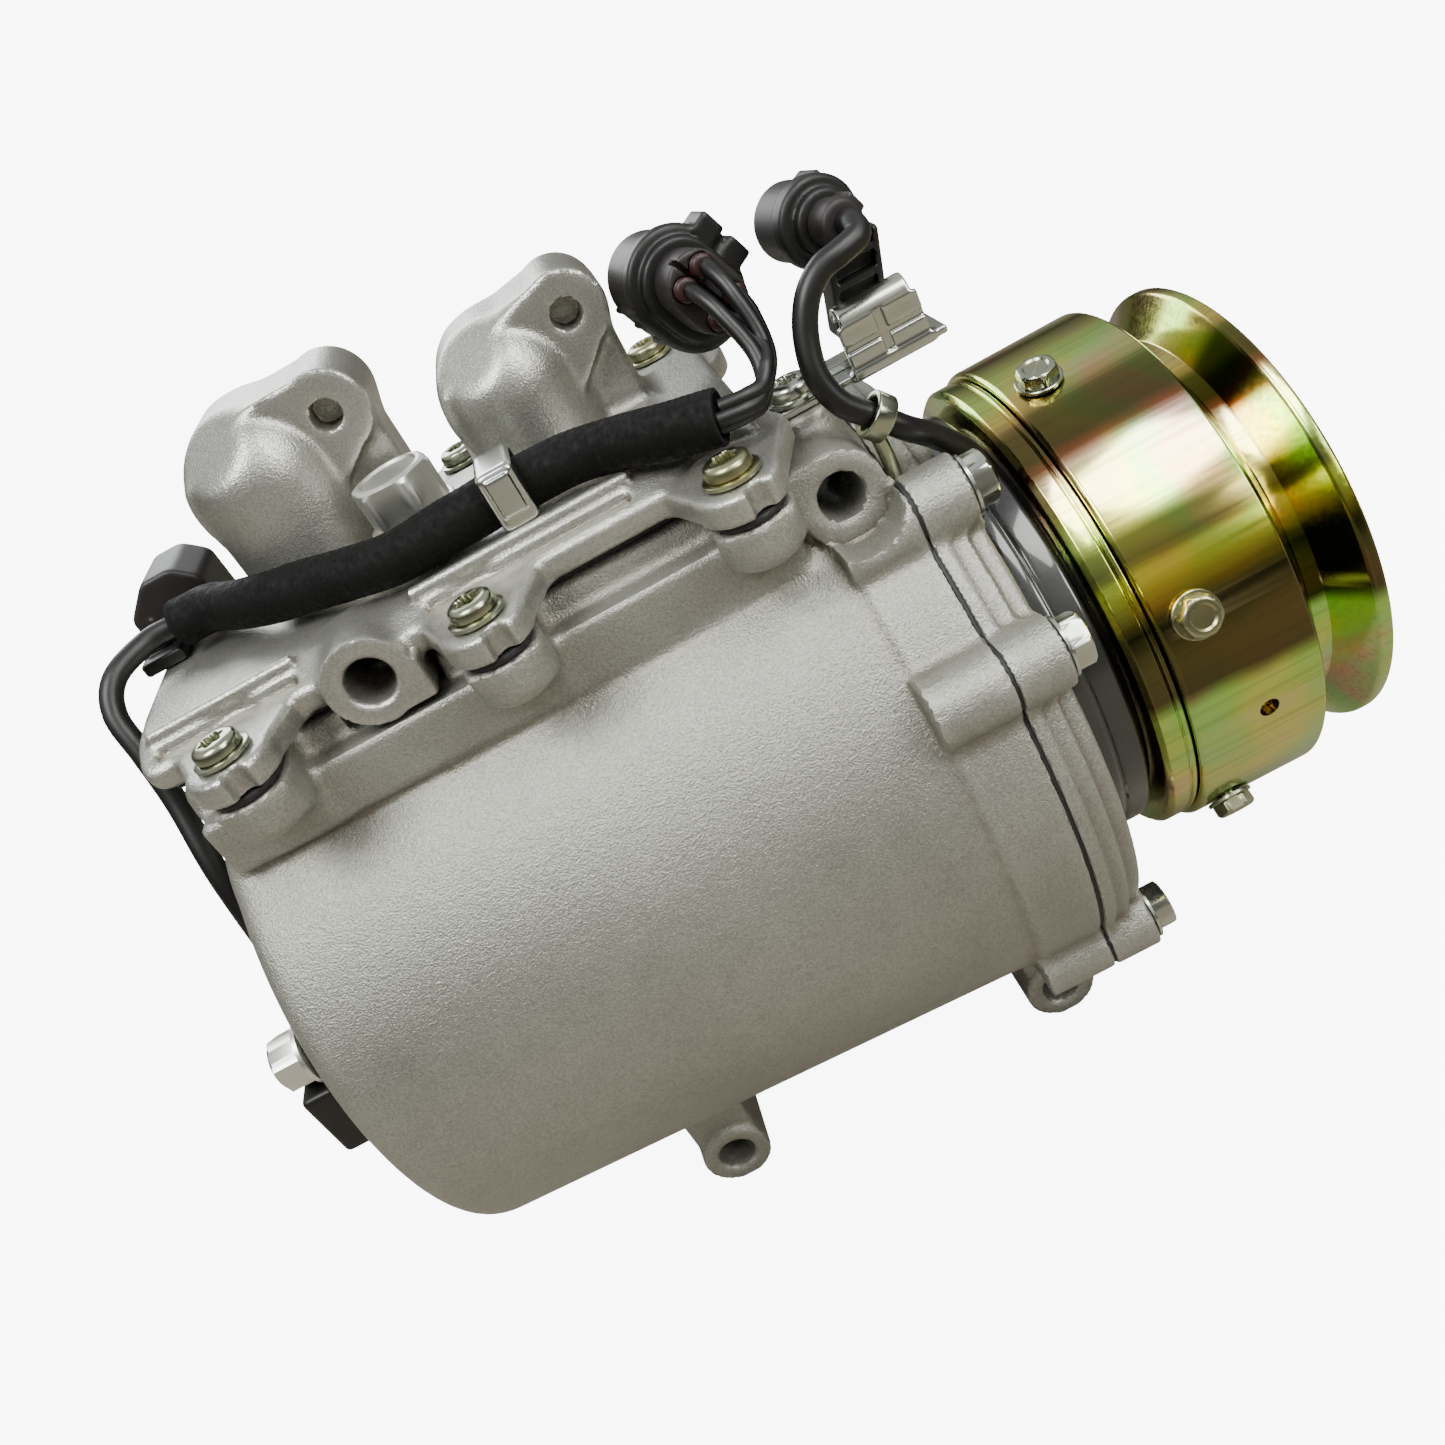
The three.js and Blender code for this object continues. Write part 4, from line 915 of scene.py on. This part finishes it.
def hex_bolt(flats, height, shank_r, shank):
    """Shank below z 0; above it a washer face, a hexagon with its corners turned down, and a
    shallow dished top."""
    return head((
        (-shank, shank_r - 0.6), (-shank + 0.7, shank_r), (0, shank_r), (0.0, flats * 0.62),
        (0.15, flats * 0.645), (0.75, flats * 0.645), (0.9, flats * 0.62),
        (0.92, hexagon(flats, 1.03)), (1.2, hexagon(flats)), (height - 0.75, hexagon(flats)),
        (height - 0.3, hexagon(flats, 1.04)), (height - 0.04, flats * 0.465),
        (height, flats * 0.43), (height, flats * 0.36), (height - 0.35, flats * 0.3),
        (height - 0.42, flats * 0.1)))


def torx_screw():
    """A pan head on a loose washer, with a six-lobed socket."""
    return head((
        (-18, 2.0), (-17.4, 2.6), (0, 2.6), (0, 5.5), (0.15, 5.75), (0.85, 5.75), (1.0, 5.5),
        (1.0, 4.5), (1.3, 4.75), (2.7, 4.75), (3.3, 4.5), (3.7, 4.0), (3.9, 3.3),
        (3.92, lobes(2.5, 0.36)), (3.6, lobes(2.3, 0.34)), (1.5, lobes(2.2, 0.32)), (1.3, 0.8)))


def make_fasteners():
    """Every bolt, screw and hexagonal plug but the sensor's, each turned a little further than the
    last. The first housing bolt is a short one, because the front lug's face takes the room
    behind."""
    zinc, green = MATERIALS["bright_zinc"], MATERIALS["green_zinc"]
    for i, (cy, cz) in enumerate(at_bolts()):
        bolt = hex_bolt(10, 5.2, 2.9, 20 if i else 10)
        mesh = stand(bolt, (FACE_X + 0.3, cy, cz), (1, 0, 0), 0.2 + 0.5 * i)
        piece(f"housing_bolt_{i + 1}", mesh, zinc, "housing", [f"front_bolt_{i + 1}"],
              sharp=32)
    for i, sx in enumerate(SCREW_XS):
        for number, side in ((i + 1, -1), (i + 4, 1)):
            seat = (sx, side * SCREW_Y, SCREW_SEAT_Z + 0.3)
            mesh = stand(torx_screw(), seat, (0, 0, 1), 0.4 * number)
            piece(f"cover_screw_{number}", mesh, green, "housing", [f"cover_screw_{number}"],
                  sharp=32)
    plug = head((
        (-14, 5.0), (-13, 5.8), (0, 5.8), (0, 9.3), (0.2, 9.6), (1.4, 9.6), (1.6, 9.3),
        (1.62, hexagon(16, 1.04)), (2.0, hexagon(16)), (9.7, hexagon(16)), (10.5, hexagon(16, 1.05)),
        (10.9, 7.5), (11, 7.1), (11, 6.5), (10.5, 6.0), (10.4, 2.0)))
    piece("relief_valve_body", stand(plug, (VALVE_X, VALVE_Y, VALVE_SEAT_Z + 0.3), (0, 0, 1), 0.35),
          MATERIALS["satin_steel"], "housing", ["relief_valve"], sharp=32)
    for i, angle in enumerate(PULLEY_BOLT_ANGLES):
        out = np.array((0, *around(1, angle)))
        seat = np.array((PULLEY_BOLT_X, 0, 0)) + out * (SLEEVE_R + 0.3)
        mesh = stand(hex_bolt(8, 4.0, 2.3, 9.5), seat, out, 0.3 + 0.7 * i)
        piece(f"pulley_bolt_{i + 1}", mesh, green, "pulley", [f"pulley_bolt_{i + 1}"],
              sharp=32)
    piece("bracket_screw_head", stand(torx_screw(), (2, -20, 85.0), (0, 0, 1), 0.3),
          zinc, "housing", ["bracket_screw"], sharp=32)


# ---------------------------------------------------------------- clutch

def drill(obj, cutters):
    """Takes round bars, given as (foot, tip, radius), out of a piece."""
    meshes = []
    for foot, tip, r in cutters:
        foot, tip = np.asarray(foot, float), np.asarray(tip, float)
        length = np.linalg.norm(tip - foot)
        meshes.append(stand(head(((0, r), (length, r))), foot, tip - foot))
    verts, faces = merged(*meshes)
    data = bpy.data.meshes.new("cutter")
    data.from_pydata((verts * MM).tolist(), [], faces)
    tool = bpy.data.objects.new("cutter", data)
    bpy.context.collection.objects.link(tool)
    made = obj.modifiers.new("drill", "BOOLEAN")
    made.operation = "DIFFERENCE"
    made.solver = "EXACT"
    made.object = tool
    apply_modifiers(obj)
    bpy.data.objects.remove(tool)
    bpy.data.meshes.remove(data)


def radial_bore(x, angle, low_r, high_r, r):
    """A bore towards the shaft, in the form that drill takes."""
    return (x, *around(low_r, angle)), (x, *around(high_r, angle)), r


def clutch_hub(x, y, z):
    """A three-lobed flange on a round boss, bored for the shaft."""
    lobe = hypot(y, z) - (30 + 6 * np.cos(3 * np.arctan2(z, y)))
    f = meet(lobe, slab(x, 73, 76.4), 0.8)
    f = join(f, rod_x(x, y, z, 0, 0, 14, 67, 75.4), 1)
    return cut(f, rod_x(x, y, z, 0, 0, 7.3, 60, 90), 0.4)


def hub_nut(x, y, z):
    """A hexagon, which is the greatest distance across three pairs of flats, with its front corners
    turned down and a bore."""
    slant = np.maximum(np.abs(y / 2 + z * 0.866), np.abs(y / 2 - z * 0.866))
    f = meet(np.maximum(np.abs(y), slant) - 8.5, slab(x, 76.7, 83.7), 0.3)
    f = meet(f, hypot(y, z) - 11.4 + np.maximum(0, x - 81), 0.3)
    return cut(f, rod_x(x, y, z, 0, 0, 5.3, 60, 90), 0.3)


def leaf_spring(index):
    """A flat strip with round ends, a third of a turn on from the last."""
    t = TAU * index / 3
    a = (31 * np.cos(t), 31 * np.sin(t))
    b = (45 * np.cos(t - 0.8), 45 * np.sin(t - 0.8))
    return lambda x, y, z: np.maximum(stadium(y, z, a, b, 4, 4), slab(x, 71.9, 72.7))


def make_clutch():
    """The pulley's sleeve and cup, the coil, the bearing, the friction plate, the hub with its nut
    and springs, and the shaft, most of them turned outlines of (x, radius)."""
    gold = MATERIALS["yellow_zinc"]
    dark, steel = MATERIALS["dark_steel"], MATERIALS["bearing_steel"]
    drum = turned((
        (43.4, 54.5), (43.4, 59.3), (44.3, SLEEVE_R), (72.5, SLEEVE_R), (73.4, 59.0), (79, 47.5),
        (82.7, 47.5), (88.3, 56.0), (88.9, 56.5), (90.8, 56.5), (91.3, 56.0), (91.3, 44), (74, 44),
        (74, 54.5)), 256, 0.35)
    drum = piece("pulley_sleeve", drum, gold, "pulley", ["v_pulley"], sharp=28)
    bores = [radial_bore(PULLEY_BOLT_X, angle, 52, 66, 2.9) for angle in PULLEY_BOLT_ANGLES]
    drill(drum, bores + [radial_bore(60, -9.2, 52, 66, 2.2)])
    drum.data.set_sharp_from_angle(angle=np.radians(28))
    rotor = turned((
        (36.4, 50), (36.4, 57.4), (37.6, 58.6), (41.3, 58.6), (41.7, 58.1), (42.1, 58.6),
        (42.9, 58.6), (43.1, 58.3), (43.1, 54.2), (66, 54.2), (66, 34), (40, 34), (40, 37.4),
        (60, 37.4), (60, 50)), 256, 0.3)
    rotor = piece("rotor_cup", rotor, gold, "pulley", ["clutch_rotor"], sharp=28)
    drill(rotor, [radial_bore(PULLEY_BOLT_X, angle, 45, 58, 2.6) for angle in PULLEY_BOLT_ANGLES])
    rotor.data.set_sharp_from_angle(angle=np.radians(28))
    coil = turned((
        (21.9, 22.5), (21.9, 52.6), (24.6, 54.6), (27.2, 54.6), (28.0, 54.1), (28.8, 54.6),
        (33.9, 54.6), (34.6, 53.2), (35.1, 49.4), (57, 49.4), (57, 38), (28, 38), (28, 22.5)),
        192, 0.9)
    piece("coil_cup", coil, MATERIALS["coil_paint"], "housing", ["clutch_coil"],
          sharp=50)
    bearing = merged(
        turned(((42, 30.6), (42, 33.7), (60, 33.7), (60, 30.6)), 128, 0.5),
        turned(((42, 22.3), (42, 25.2), (60, 25.2), (60, 22.3)), 128, 0.5),
        turned(((42.6, 25.1), (42.6, 30.7), (59.4, 30.7), (59.4, 25.1)), 128, 0.3))
    piece("bearing_rings", bearing, steel, "pulley", ["pulley_bearing"])
    plate = turned((
        (66.8, 34), (66.8, 53), (71.6, 53), (71.6, 45), (71.2, 44), (71.2, 42), (71.6, 41),
        (71.6, 34)), 192, 0.4)
    piece("friction_plate", plate, dark, "armature", ["armature_plate"])
    mesh = field_skin(clutch_hub, (65, -38, -38), (78, 38, 38), 0.65)
    piece("hub_plate", mesh, dark, "shaft", ["clutch_hub"])
    mesh = field_skin(hub_nut, (76, -11, -11), (84.5, 11, 11), 0.3)
    piece("shaft_nut", mesh, MATERIALS["bright_zinc"], "shaft", ["hub_nut"],
          sharp=35)
    for i in range(3):
        mesh = field_skin(leaf_spring(i), (71.6, -51, -51), (73, 51, 51), (0.35, 0.6, 0.6))
        piece(f"leaf_strip_{i + 1}", mesh, steel, "shaft", [f"leaf_spring_{i + 1}"])
    steps = (
        (11.5, 14.6), (11.9, 15), (15.5, 15), (15.5, 12.5), (30, 12.5), (30, 10), (44, 10),
        (44, 9), (66, 9), (66, 7), (76, 7), (76, 5), (84, 5), (84.5, 4.4))
    shaft = merged(
        stand(head(steps), (0, 0, 0), (1, 0, 0)),
        stand(head(((-5.5, 4.5), (-5, 5), (12, 5))), (0, 0, 4.5), (1, 0, 0)))
    piece("crank_shaft", shaft, steel, "shaft", ["drive_shaft"])


# ---------------------------------------------------------------- wiring

# Both plugs point the same way: out along PLUG_AXIS, with their ovals' long sides along PLUG_LONG.
PLUG_AXIS = unit((-0.236, 0.972, -0.005))
PLUG_LONG = unit((0.4, 0.093, -0.912))
PLUG_LONG = unit(PLUG_LONG - PLUG_AXIS * PLUG_AXIS.dot(PLUG_LONG))
PLUG_SIDE = np.cross(PLUG_AXIS, PLUG_LONG)
HARNESS_PLUG_AT = np.array((-7, -4, 110))
COIL_PLUG_AT = np.array((20.5, -10, 110.6))
SLEEVE_ROUTE = (
    (-134, 3.6, 98.6), (-126, 1.6, 98.6), (-114.5, -9.5, 98.6), (-98, -18, 98), (-82, -25.5, 97.4),
    (-66, -23.6, 97.2), (-50, -22.6, 97.2), (-38, -25.5, 97), (-26, -33.5, 96.4), (-14, -38.5, 95))
WIRE_ROUTE = (
    (-3.4, -17.2, 110.2), (-2.8, -21.2, 109.6), (-1.7, -25.5, 106.6), (-1, -31, 99.5),
    (-4.5, -36, 94.6), (-8.5, -38.2, 94.4), (-14.5, -38.6, 95))
WIRE_EYE_AT = (12.7, -36, 79.4)
COIL_LEAD_ROUTE = (
    (23.6, -21.5, 110.7), (24.3, -25.5, 110.3), (23.6, -28.3, 109), (19.4, -29.8, 108.3),
    (14.8, -30.4, 107.5), (10.3, -31.4, 104.3), (7, -32.8, 98.5), (5.6, -34.8, 91.5),
    (7.6, -36, 85), WIRE_EYE_AT, (17, -36, 74.5), (22, -33, 69), (27.5, -29.5, 61.5),
    (30, -26.5, 54), (30, -25.6, 49.3))
REAR_CABLE_ROUTE = (
    (-135.3, 3.7, 98.6), (-142, 1.5, 99), (-149.5, -5, 97.5), (-152.6, -10, 92),
    (-151.4, -15, 83), (-150.6, -20, 72), (-150.4, -28, 57), (-150.4, -34, 36),
    (-150.8, -37, 19), (-151.4, -40, 12), (-151.6, -45.1, 10.4))
WIRE_MOUTHS = ((-4.4, -2.7), (4.4, -2.7), (-4.4, 2.7), (4.4, 2.7))
ACROSS_BUNDLE, ALONG_BUNDLE = np.array((0.5, 0, 0.87)), np.array((0.3, 0.9, -0.3))


def braid(s, t):
    """Height of a diamond braid on a sleeve: two families of strands that cross as they wind, on
    slow lumps where the wires inside press out."""
    strands = 0.06 * np.sin(18 * t + 2.4 * s) * np.sin(18 * t - 2.4 * s)
    lumps = 0.12 * np.sin(0.13 * s + 2 * t) + 0.06 * np.sin(0.41 * s - 3 * t)
    return strands + lumps - 0.15


def in_plug_frame(mesh, origin):
    """Moves a mesh from a plug's own axes (long, side, out) to the object's."""
    verts, faces = mesh
    return origin + verts @ np.array((PLUG_LONG, PLUG_SIDE, PLUG_AXIS)), faces


def oval(a, b, r):
    """The big plug's outline: two half circles of radius r, 5.2 mm apart."""
    return stadium(a, b, (-2.6, 0), (2.6, 0), r, r)


def harness_hood(a, b, c):
    """An oval hood, open at its far end, with ribs along its lower side."""
    f = meet(oval(a, b, 9.4), slab(c, 1, 14), 0.9)
    f = cut(f, np.maximum(oval(a, b, 7.7), 4 - c), 0.5)
    for rib in (-5, 0, 5):
        f = join(f, block(a, b, c, (rib - 0.6, rib + 0.6), (5, 10.1), (1.5, 12), 0.4), 0.5)
    return f


def harness_flange(a, b, c):
    """The oval flange behind the hood, a step, and the latch: a bar in two blocks along one side."""
    f = meet(oval(a, b, 10.8), slab(c, -3, 0.8), 1.4)
    f = join(f, meet(stadium(a, b, (-2.4, 0), (2.4, 0), 8.6, 8.6), slab(c, -5.5, -2), 0.9), 0.7)
    for low, high in ((-6.4, -0.9), (0.9, 6.4)):
        f = join(f, block(a, b, c, (low, high), (-13.6, -8.6), (-3.4, 4), 0.8), 0.5)
    return join(f, block(a, b, c, (-2.4, 2.4), (-12.6, -8.6), (-2.6, 7), 0.7), 0.5)


def harness_tail(a, b, c):
    """The body behind the flange, split by a groove, with a round mouth for each of four wires."""
    f = meet(oval(a, b, 6.4), slab(c, -13.4, -5), 1.0)
    f = cut(f, block(a, b, c, (-20, 20), (-0.5, 0.5), (-20, -10.5), 0.3), 0.3)
    for da, db in WIRE_MOUTHS:
        f = cut(f, np.maximum(hypot(a - da, b - db) - 2.5, c + 11), 0.3)
    return f


def harness_seals(a, b, c):
    """A ribbed rubber plug in each mouth."""
    f = 9 + 0 * (a + b + c)
    for da, db in WIRE_MOUTHS:
        ribbed = hypot(a - da, b - db) - 2.2 - 0.22 * np.sin(4.2 * c)
        f = np.minimum(f, meet(ribbed, slab(c, -15.2, -11.2), 0.5))
    return f


def coil_cap(a, b, c):
    """A round hood, open at its far end, with a window and a rib."""
    f = meet(hypot(a, b) - 7.8, slab(c, 1, 11), 1.2)
    f = cut(f, np.maximum(hypot(a, b) - 6.2, 4 - c), 0.5)
    f = cut(f, block(a, b, c, (-1.8, 1.8), (-12, -6.6), (4.4, 7.4), 0.4), 0.4)
    return join(f, block(a, b, c, (-4.4, -2.6), (-8.8, -6), (2, 10), 0.5), 0.5)


def coil_collar(a, b, c):
    """A round flange behind the hood, and a step."""
    f = meet(hypot(a, b) - 8.8, slab(c, -4, 0.8), 1.3)
    return join(f, meet(hypot(a, b) - 6.2, slab(c, -6.5, -3), 0.8), 0.6)


def coil_tail(a, b, c):
    """A round neck for the wire with a bar along one side."""
    f = meet(hypot(a, b) - 4.5, slab(c, -13, -6), 1.2)
    return join(f, block(a, b, c, (-2.2, 2.2), (-5.4, -3), (-12, -6), 0.6), 0.5)


def bracket(x, y, z):
    """A strip with a pressed rib, folded up along its near side into a tongue that curls back at
    the top and has a cross pressed into it."""
    foot = block(x, y, z, (-5, 34), (-25, -9), (83.2, 84.8), 0.5)
    foot = join(foot, meet(stadium(x, y, (10, -17), (26, -17), 2.2, 2.2), slab(z, 84, 86), 0.9), 0.9)
    tongue = block(x, y, z, (14, 31), (-25, -23.6), (83.2, 94), 0.6)
    curl = np.maximum(np.abs(hypot(y + 21.3, z - 93.6) - 3) - 0.7, 93.6 - z)
    curl = meet(curl, slab(x, 15, 30), 0.6)
    tongue = join(tongue, curl, 0.6)
    bars = np.minimum(slab(x, 21.6, 23.4), slab(z, 88.6, 90))
    tongue = cut(tongue, np.maximum(np.maximum(bars, y + 24.4), slab(z, 85.5, 94)), 0.5)
    f = join(foot, tongue, 1.2)
    return cut(f, rod_z(x, y, z, 2, -20, 2.9, 70, 100), 0.3)


def holder(x, y, z):
    """The moulded arm between the bracket and the coil's plug, with pockets in its near side."""
    lean = x - 0.25 * (z - 95)
    f = block(lean, y, z, (16, 27), (-20, -11), (90, 107), 1.2)
    for z0 in (95.5, 100, 104.3):
        f = cut(f, block(lean, y, z, (17.4, 25.6), (-30, -17), (z0, z0 + 3.2), 0.5), 0.3)
    return f


def band_clip(x, y, z):
    """A rectangular band with rounded corners and a folded tab on its near side."""
    outer = block(x, y, z, (-60, -52), (-30.4, -15.8), (91.8, 104.4), 1.6)
    inner = block(x, y, z, (-70, -40), (-29.3, -16.9), (92.9, 103.3), 1.2)
    f = cut(outer, inner, 0.3)
    return join(f, block(x, y, z, (-58.5, -53.5), (-31, -29.6), (95, 103), 0.5), 0.4)


def left_connector(x, y, z):
    """A box hood with two slopes on top, open to the far side, with three ribs on the near one."""
    f = block(x, y, z, (-147, -128), (13, 31), (92, 107.5), 1.2)
    f = meet(f, (-6.5 * (x + 147) + 7 * (z - 101)) / 9.55, 1.0)
    f = meet(f, (4.5 * (x + 133) + 5 * (z - 107.5)) / 6.73, 1.0)
    f = cut(f, block(x, y, z, (-144.5, -130.5), (24, 40), (94.5, 104), 0.8), 0.4)
    for rib in (-143, -137.5, -132):
        f = join(f, block(x, y, z, (rib - 0.6, rib + 0.6), (12.4, 20), (94, 100), 0.5), 0.4)
    return f


def left_block(x, y, z):
    """The flat block in front of that hood, with a step."""
    f = block(x, y, z, (-147, -137), (1, 15), (91.8, 94.8), 0.8)
    return join(f, block(x, y, z, (-146, -139), (5, 14), (94, 96), 0.8), 0.6)


def rear_plug(x, y, z):
    """A box plug behind the rear casting, hollow from below."""
    f = block(x, y, z, (-155.2, -147.6), (-60, -46), (0, 17.3), 1.4)
    return cut(f, block(x, y, z, (-153, -149.6), (-58, -48), (-5, 2), 0.5), 0.3)


def make_wiring():
    """The braided sleeve and the wires, the plugs, and what holds them."""
    plastic, black, wire = MATERIALS["grey_plastic"], MATERIALS["black_plastic"], MATERIALS["wire"]
    zinc = MATERIALS["bright_zinc"]
    sleeve = tube(smooth_path(SLEEVE_ROUTE, 420), 5.4, 84, braid, open_end=True)
    piece("braided_sleeve", sleeve, MATERIALS["woven_sleeve"], "housing", ["harness_sleeve"],
          sharp=None)

    # each wire leaves its own mouth of the plug and winds into one bundle at the sleeve
    middle = smooth_path(WIRE_ROUTE, 90)
    fade = np.linspace(0, 1, 90)[:, None]
    wires = []
    for i, (da, db) in enumerate(WIRE_MOUTHS):
        turn = TAU * (i + 0.5) / 4 + 0.6 * fade
        leave = da * PLUG_LONG + db * PLUG_SIDE
        bundle = 1.9 * (np.cos(turn) * ACROSS_BUNDLE + np.sin(turn) * ALONG_BUNDLE)
        share = np.minimum(1, 1.6 * fade) ** 1.2
        wires.append(tube(middle + (1 - share) * leave + share * bundle, 1.55, 22))
    piece("four_wires", merged(*wires), wire, "housing", ["plug_lead"],
          sharp=None)
    for name, route, node_name in (
        ("coil_wire", COIL_LEAD_ROUTE, "coil_lead"),
        ("rear_wire", REAR_CABLE_ROUTE, "rear_cable"),
    ):
        mesh = tube(smooth_path(route, 160), 2.5, 28)
        piece(name, mesh, wire, "housing", [node_name], sharp=None)

    grey = (plastic, "grey_plastic")
    dull = (black, "black_plastic")
    red = (MATERIALS["red_seal"], "seal_rubber")
    big, small = HARNESS_PLUG_AT, COIL_PLUG_AT
    for name, field, low, high, step, origin, (material, slot), stands in (
        ("plug_hood", harness_hood, (-13, -11, 0), (13, 11, 15), 0.55, big, grey, ["harness_plug"]),
        ("plug_flange", harness_flange, (-15, -15, -7), (15, 12, 8), 0.55, big, dull, ()),
        ("plug_tail", harness_tail, (-10, -8, -15), (10, 8, -4), 0.45, big, grey, ()),
        ("plug_seals", harness_seals, (-8, -6, -16), (8, 6, -10), 0.35, big, red, ()),
        ("coil_plug_cap", coil_cap, (-9, -10, 0), (9, 9, 12), 0.45, small, grey, ["coil_plug"]),
        ("coil_plug_collar", coil_collar, (-10, -10, -8), (10, 10, 2), 0.45, small, dull, ()),
        ("coil_plug_tail", coil_tail, (-6, -7, -14), (6, 6, -5), 0.4, small, grey, ()),
    ):
        mesh = in_plug_frame(field_skin(field, low, high, step), origin)
        piece(name, mesh, material, "housing", stands)

    mesh = field_skin(bracket, (-6, -26, 82.5), (35.5, -8, 98), 0.38)
    piece("plug_bracket", mesh, zinc, "housing", ["connector_bracket"])
    mesh = field_skin(holder, (13, -21, 89), (32, -10, 108), 0.5)
    piece("plug_holder", mesh, black, "housing")
    mesh = field_skin(band_clip, (-61, -31.6, 91), (-51, -15, 105), 0.4)
    piece("band_clip", mesh, zinc, "housing", ["sleeve_clip"])
    ring = upright(turned(((-2, 3.3), (-2, 4.7), (2, 4.7), (2, 3.3)), 48, 0.4))
    eye = merged(
        stand(ring, WIRE_EYE_AT, (0.65, 0, -0.75)),
        tube(smooth_path(((11.6, -36, 66.4), (11.6, -36, 71), (11.4, -36, 75.6)), 24), 1.5, 20))
    piece("wire_eye", eye, MATERIALS["green_zinc"], "housing", ["lead_clip"])
    mesh = field_skin(left_connector, (-148, 11, 91), (-127, 32, 108.5), 0.55)
    piece("left_connector_hood", mesh, plastic, "housing", ["sensor_connector"])
    mesh = field_skin(left_block, (-148, 0, 91), (-136, 16, 97), 0.45)
    piece("left_connector_block", mesh, black, "housing")
    flats = hexagon(11.4)
    sensor = head(((0, 7.0), (0.1, 7.2), (1.0, 7.2), (1.1, flats), (7, flats), (7.7, 5.4)))
    sensor = stand(sensor, (REAR_X - 0.3, -53.5, 24), (-1, 0, 0), 0.5)
    piece("sensor_hexagon", sensor, MATERIALS["satin_steel"], "housing", ["rear_sensor"],
          sharp=32)
    mesh = field_skin(rear_plug, (-156, -61, -1), (-147, -45, 18.5), 0.5)
    piece("sensor_plug", mesh, black, "housing", ["rear_sensor_plug"])


# ---------------------------------------------------------------- the rest, and the stage

def finish_inner_parts():
    """The parts that stay as they were packed take the finish of their slot."""
    slots = {part["node"]: part["material_slot"] for part in frame["record"]["subparts"]}
    for name, obj in frame["nodes"].items():
        material = MATERIALS.get(slots.get(name)) or MATERIALS["machined_aluminium"]
        obj.data.materials.clear()
        obj.data.materials.append(material)


def make_stage():
    """A pale floor that looks white but throws a warm, dimmer light back on the metal, under a sky
    that is bright above and dark near the horizon."""
    bpy.ops.mesh.primitive_plane_add(size=40, location=(0, 0, FLOOR_Z * MM))
    floor = bpy.context.object
    floor.name = "floor"
    made, tree, shader = new_material("floor", Roughness=0.9, Specular_IOR_Level=0.0)
    seen = node(tree, "ShaderNodeLightPath").outputs["Is Camera Ray"]
    tree.links.new(mix(tree, seen, (0.30, 0.275, 0.23), (0.9, 0.9, 0.9)), shader.inputs["Base Color"])
    glow = node(tree, "ShaderNodeEmission", None, Color=(1, 1, 1, 1), Strength=14.0).outputs[0]
    share = maths(tree, "MULTIPLY", seen, 0.6)
    both = node(tree, "ShaderNodeMixShader", None, n0=share, n1=shader.outputs[0], n2=glow)
    tree.links.new(both.outputs[0], tree.nodes["Material Output"].inputs["Surface"])
    floor.data.materials.append(made)
    world = bpy.data.worlds.new("world")
    bpy.context.scene.world = world
    world.use_nodes = True
    tree = world.node_tree
    where = node(tree, "ShaderNodeTexCoord").outputs["Generated"]
    height = node(tree, "ShaderNodeSeparateXYZ", None, n0=where).outputs[2]
    sky = ramp(tree, height, (
        (0.0, (0.05, 0.042, 0.034)), (0.10, (0.12, 0.105, 0.09)), (0.32, (0.40, 0.40, 0.39)),
        (0.58, (1.0, 1.0, 1.0)), (1.0, (0.95, 0.97, 0.98))))
    back = tree.nodes["Background"]
    tree.links.new(sky, back.inputs[0])
    back.inputs[1].default_value = 0.72
    white = node(tree, "ShaderNodeBackground", None, Color=(1, 1, 1, 1), Strength=9.0).outputs[0]
    seen = node(tree, "ShaderNodeLightPath").outputs["Is Camera Ray"]
    both = node(tree, "ShaderNodeMixShader", None, n0=seen, n1=back.outputs[0], n2=white)
    tree.links.new(both.outputs[0], tree.nodes["World Output"].inputs["Surface"])
    make_light("key", (-0.45, -0.45, 0.95), (-0.03, 0, 0), 0.5, 11.5, (1.0, 1.0, 0.97))
    make_light("strip", (0.26, -0.27, 0.57), (0.06, -0.045, 0.05), 0.28, 2.6, (1.0, 1.0, 0.97))
    make_light("side", (0.75, -0.75, 0.55), (0, 0, 0), 0.35, 5.0, (1.0, 0.98, 0.94))
    make_light("rear", (-0.3, 0.8, 0.5), (0, 0, 0.05), 0.5, 5, (0.95, 0.98, 1.0))


make_camera()
make_castings()
make_gaskets()
make_fasteners()
make_clutch()
make_wiring()
finish_inner_parts()
make_stage()
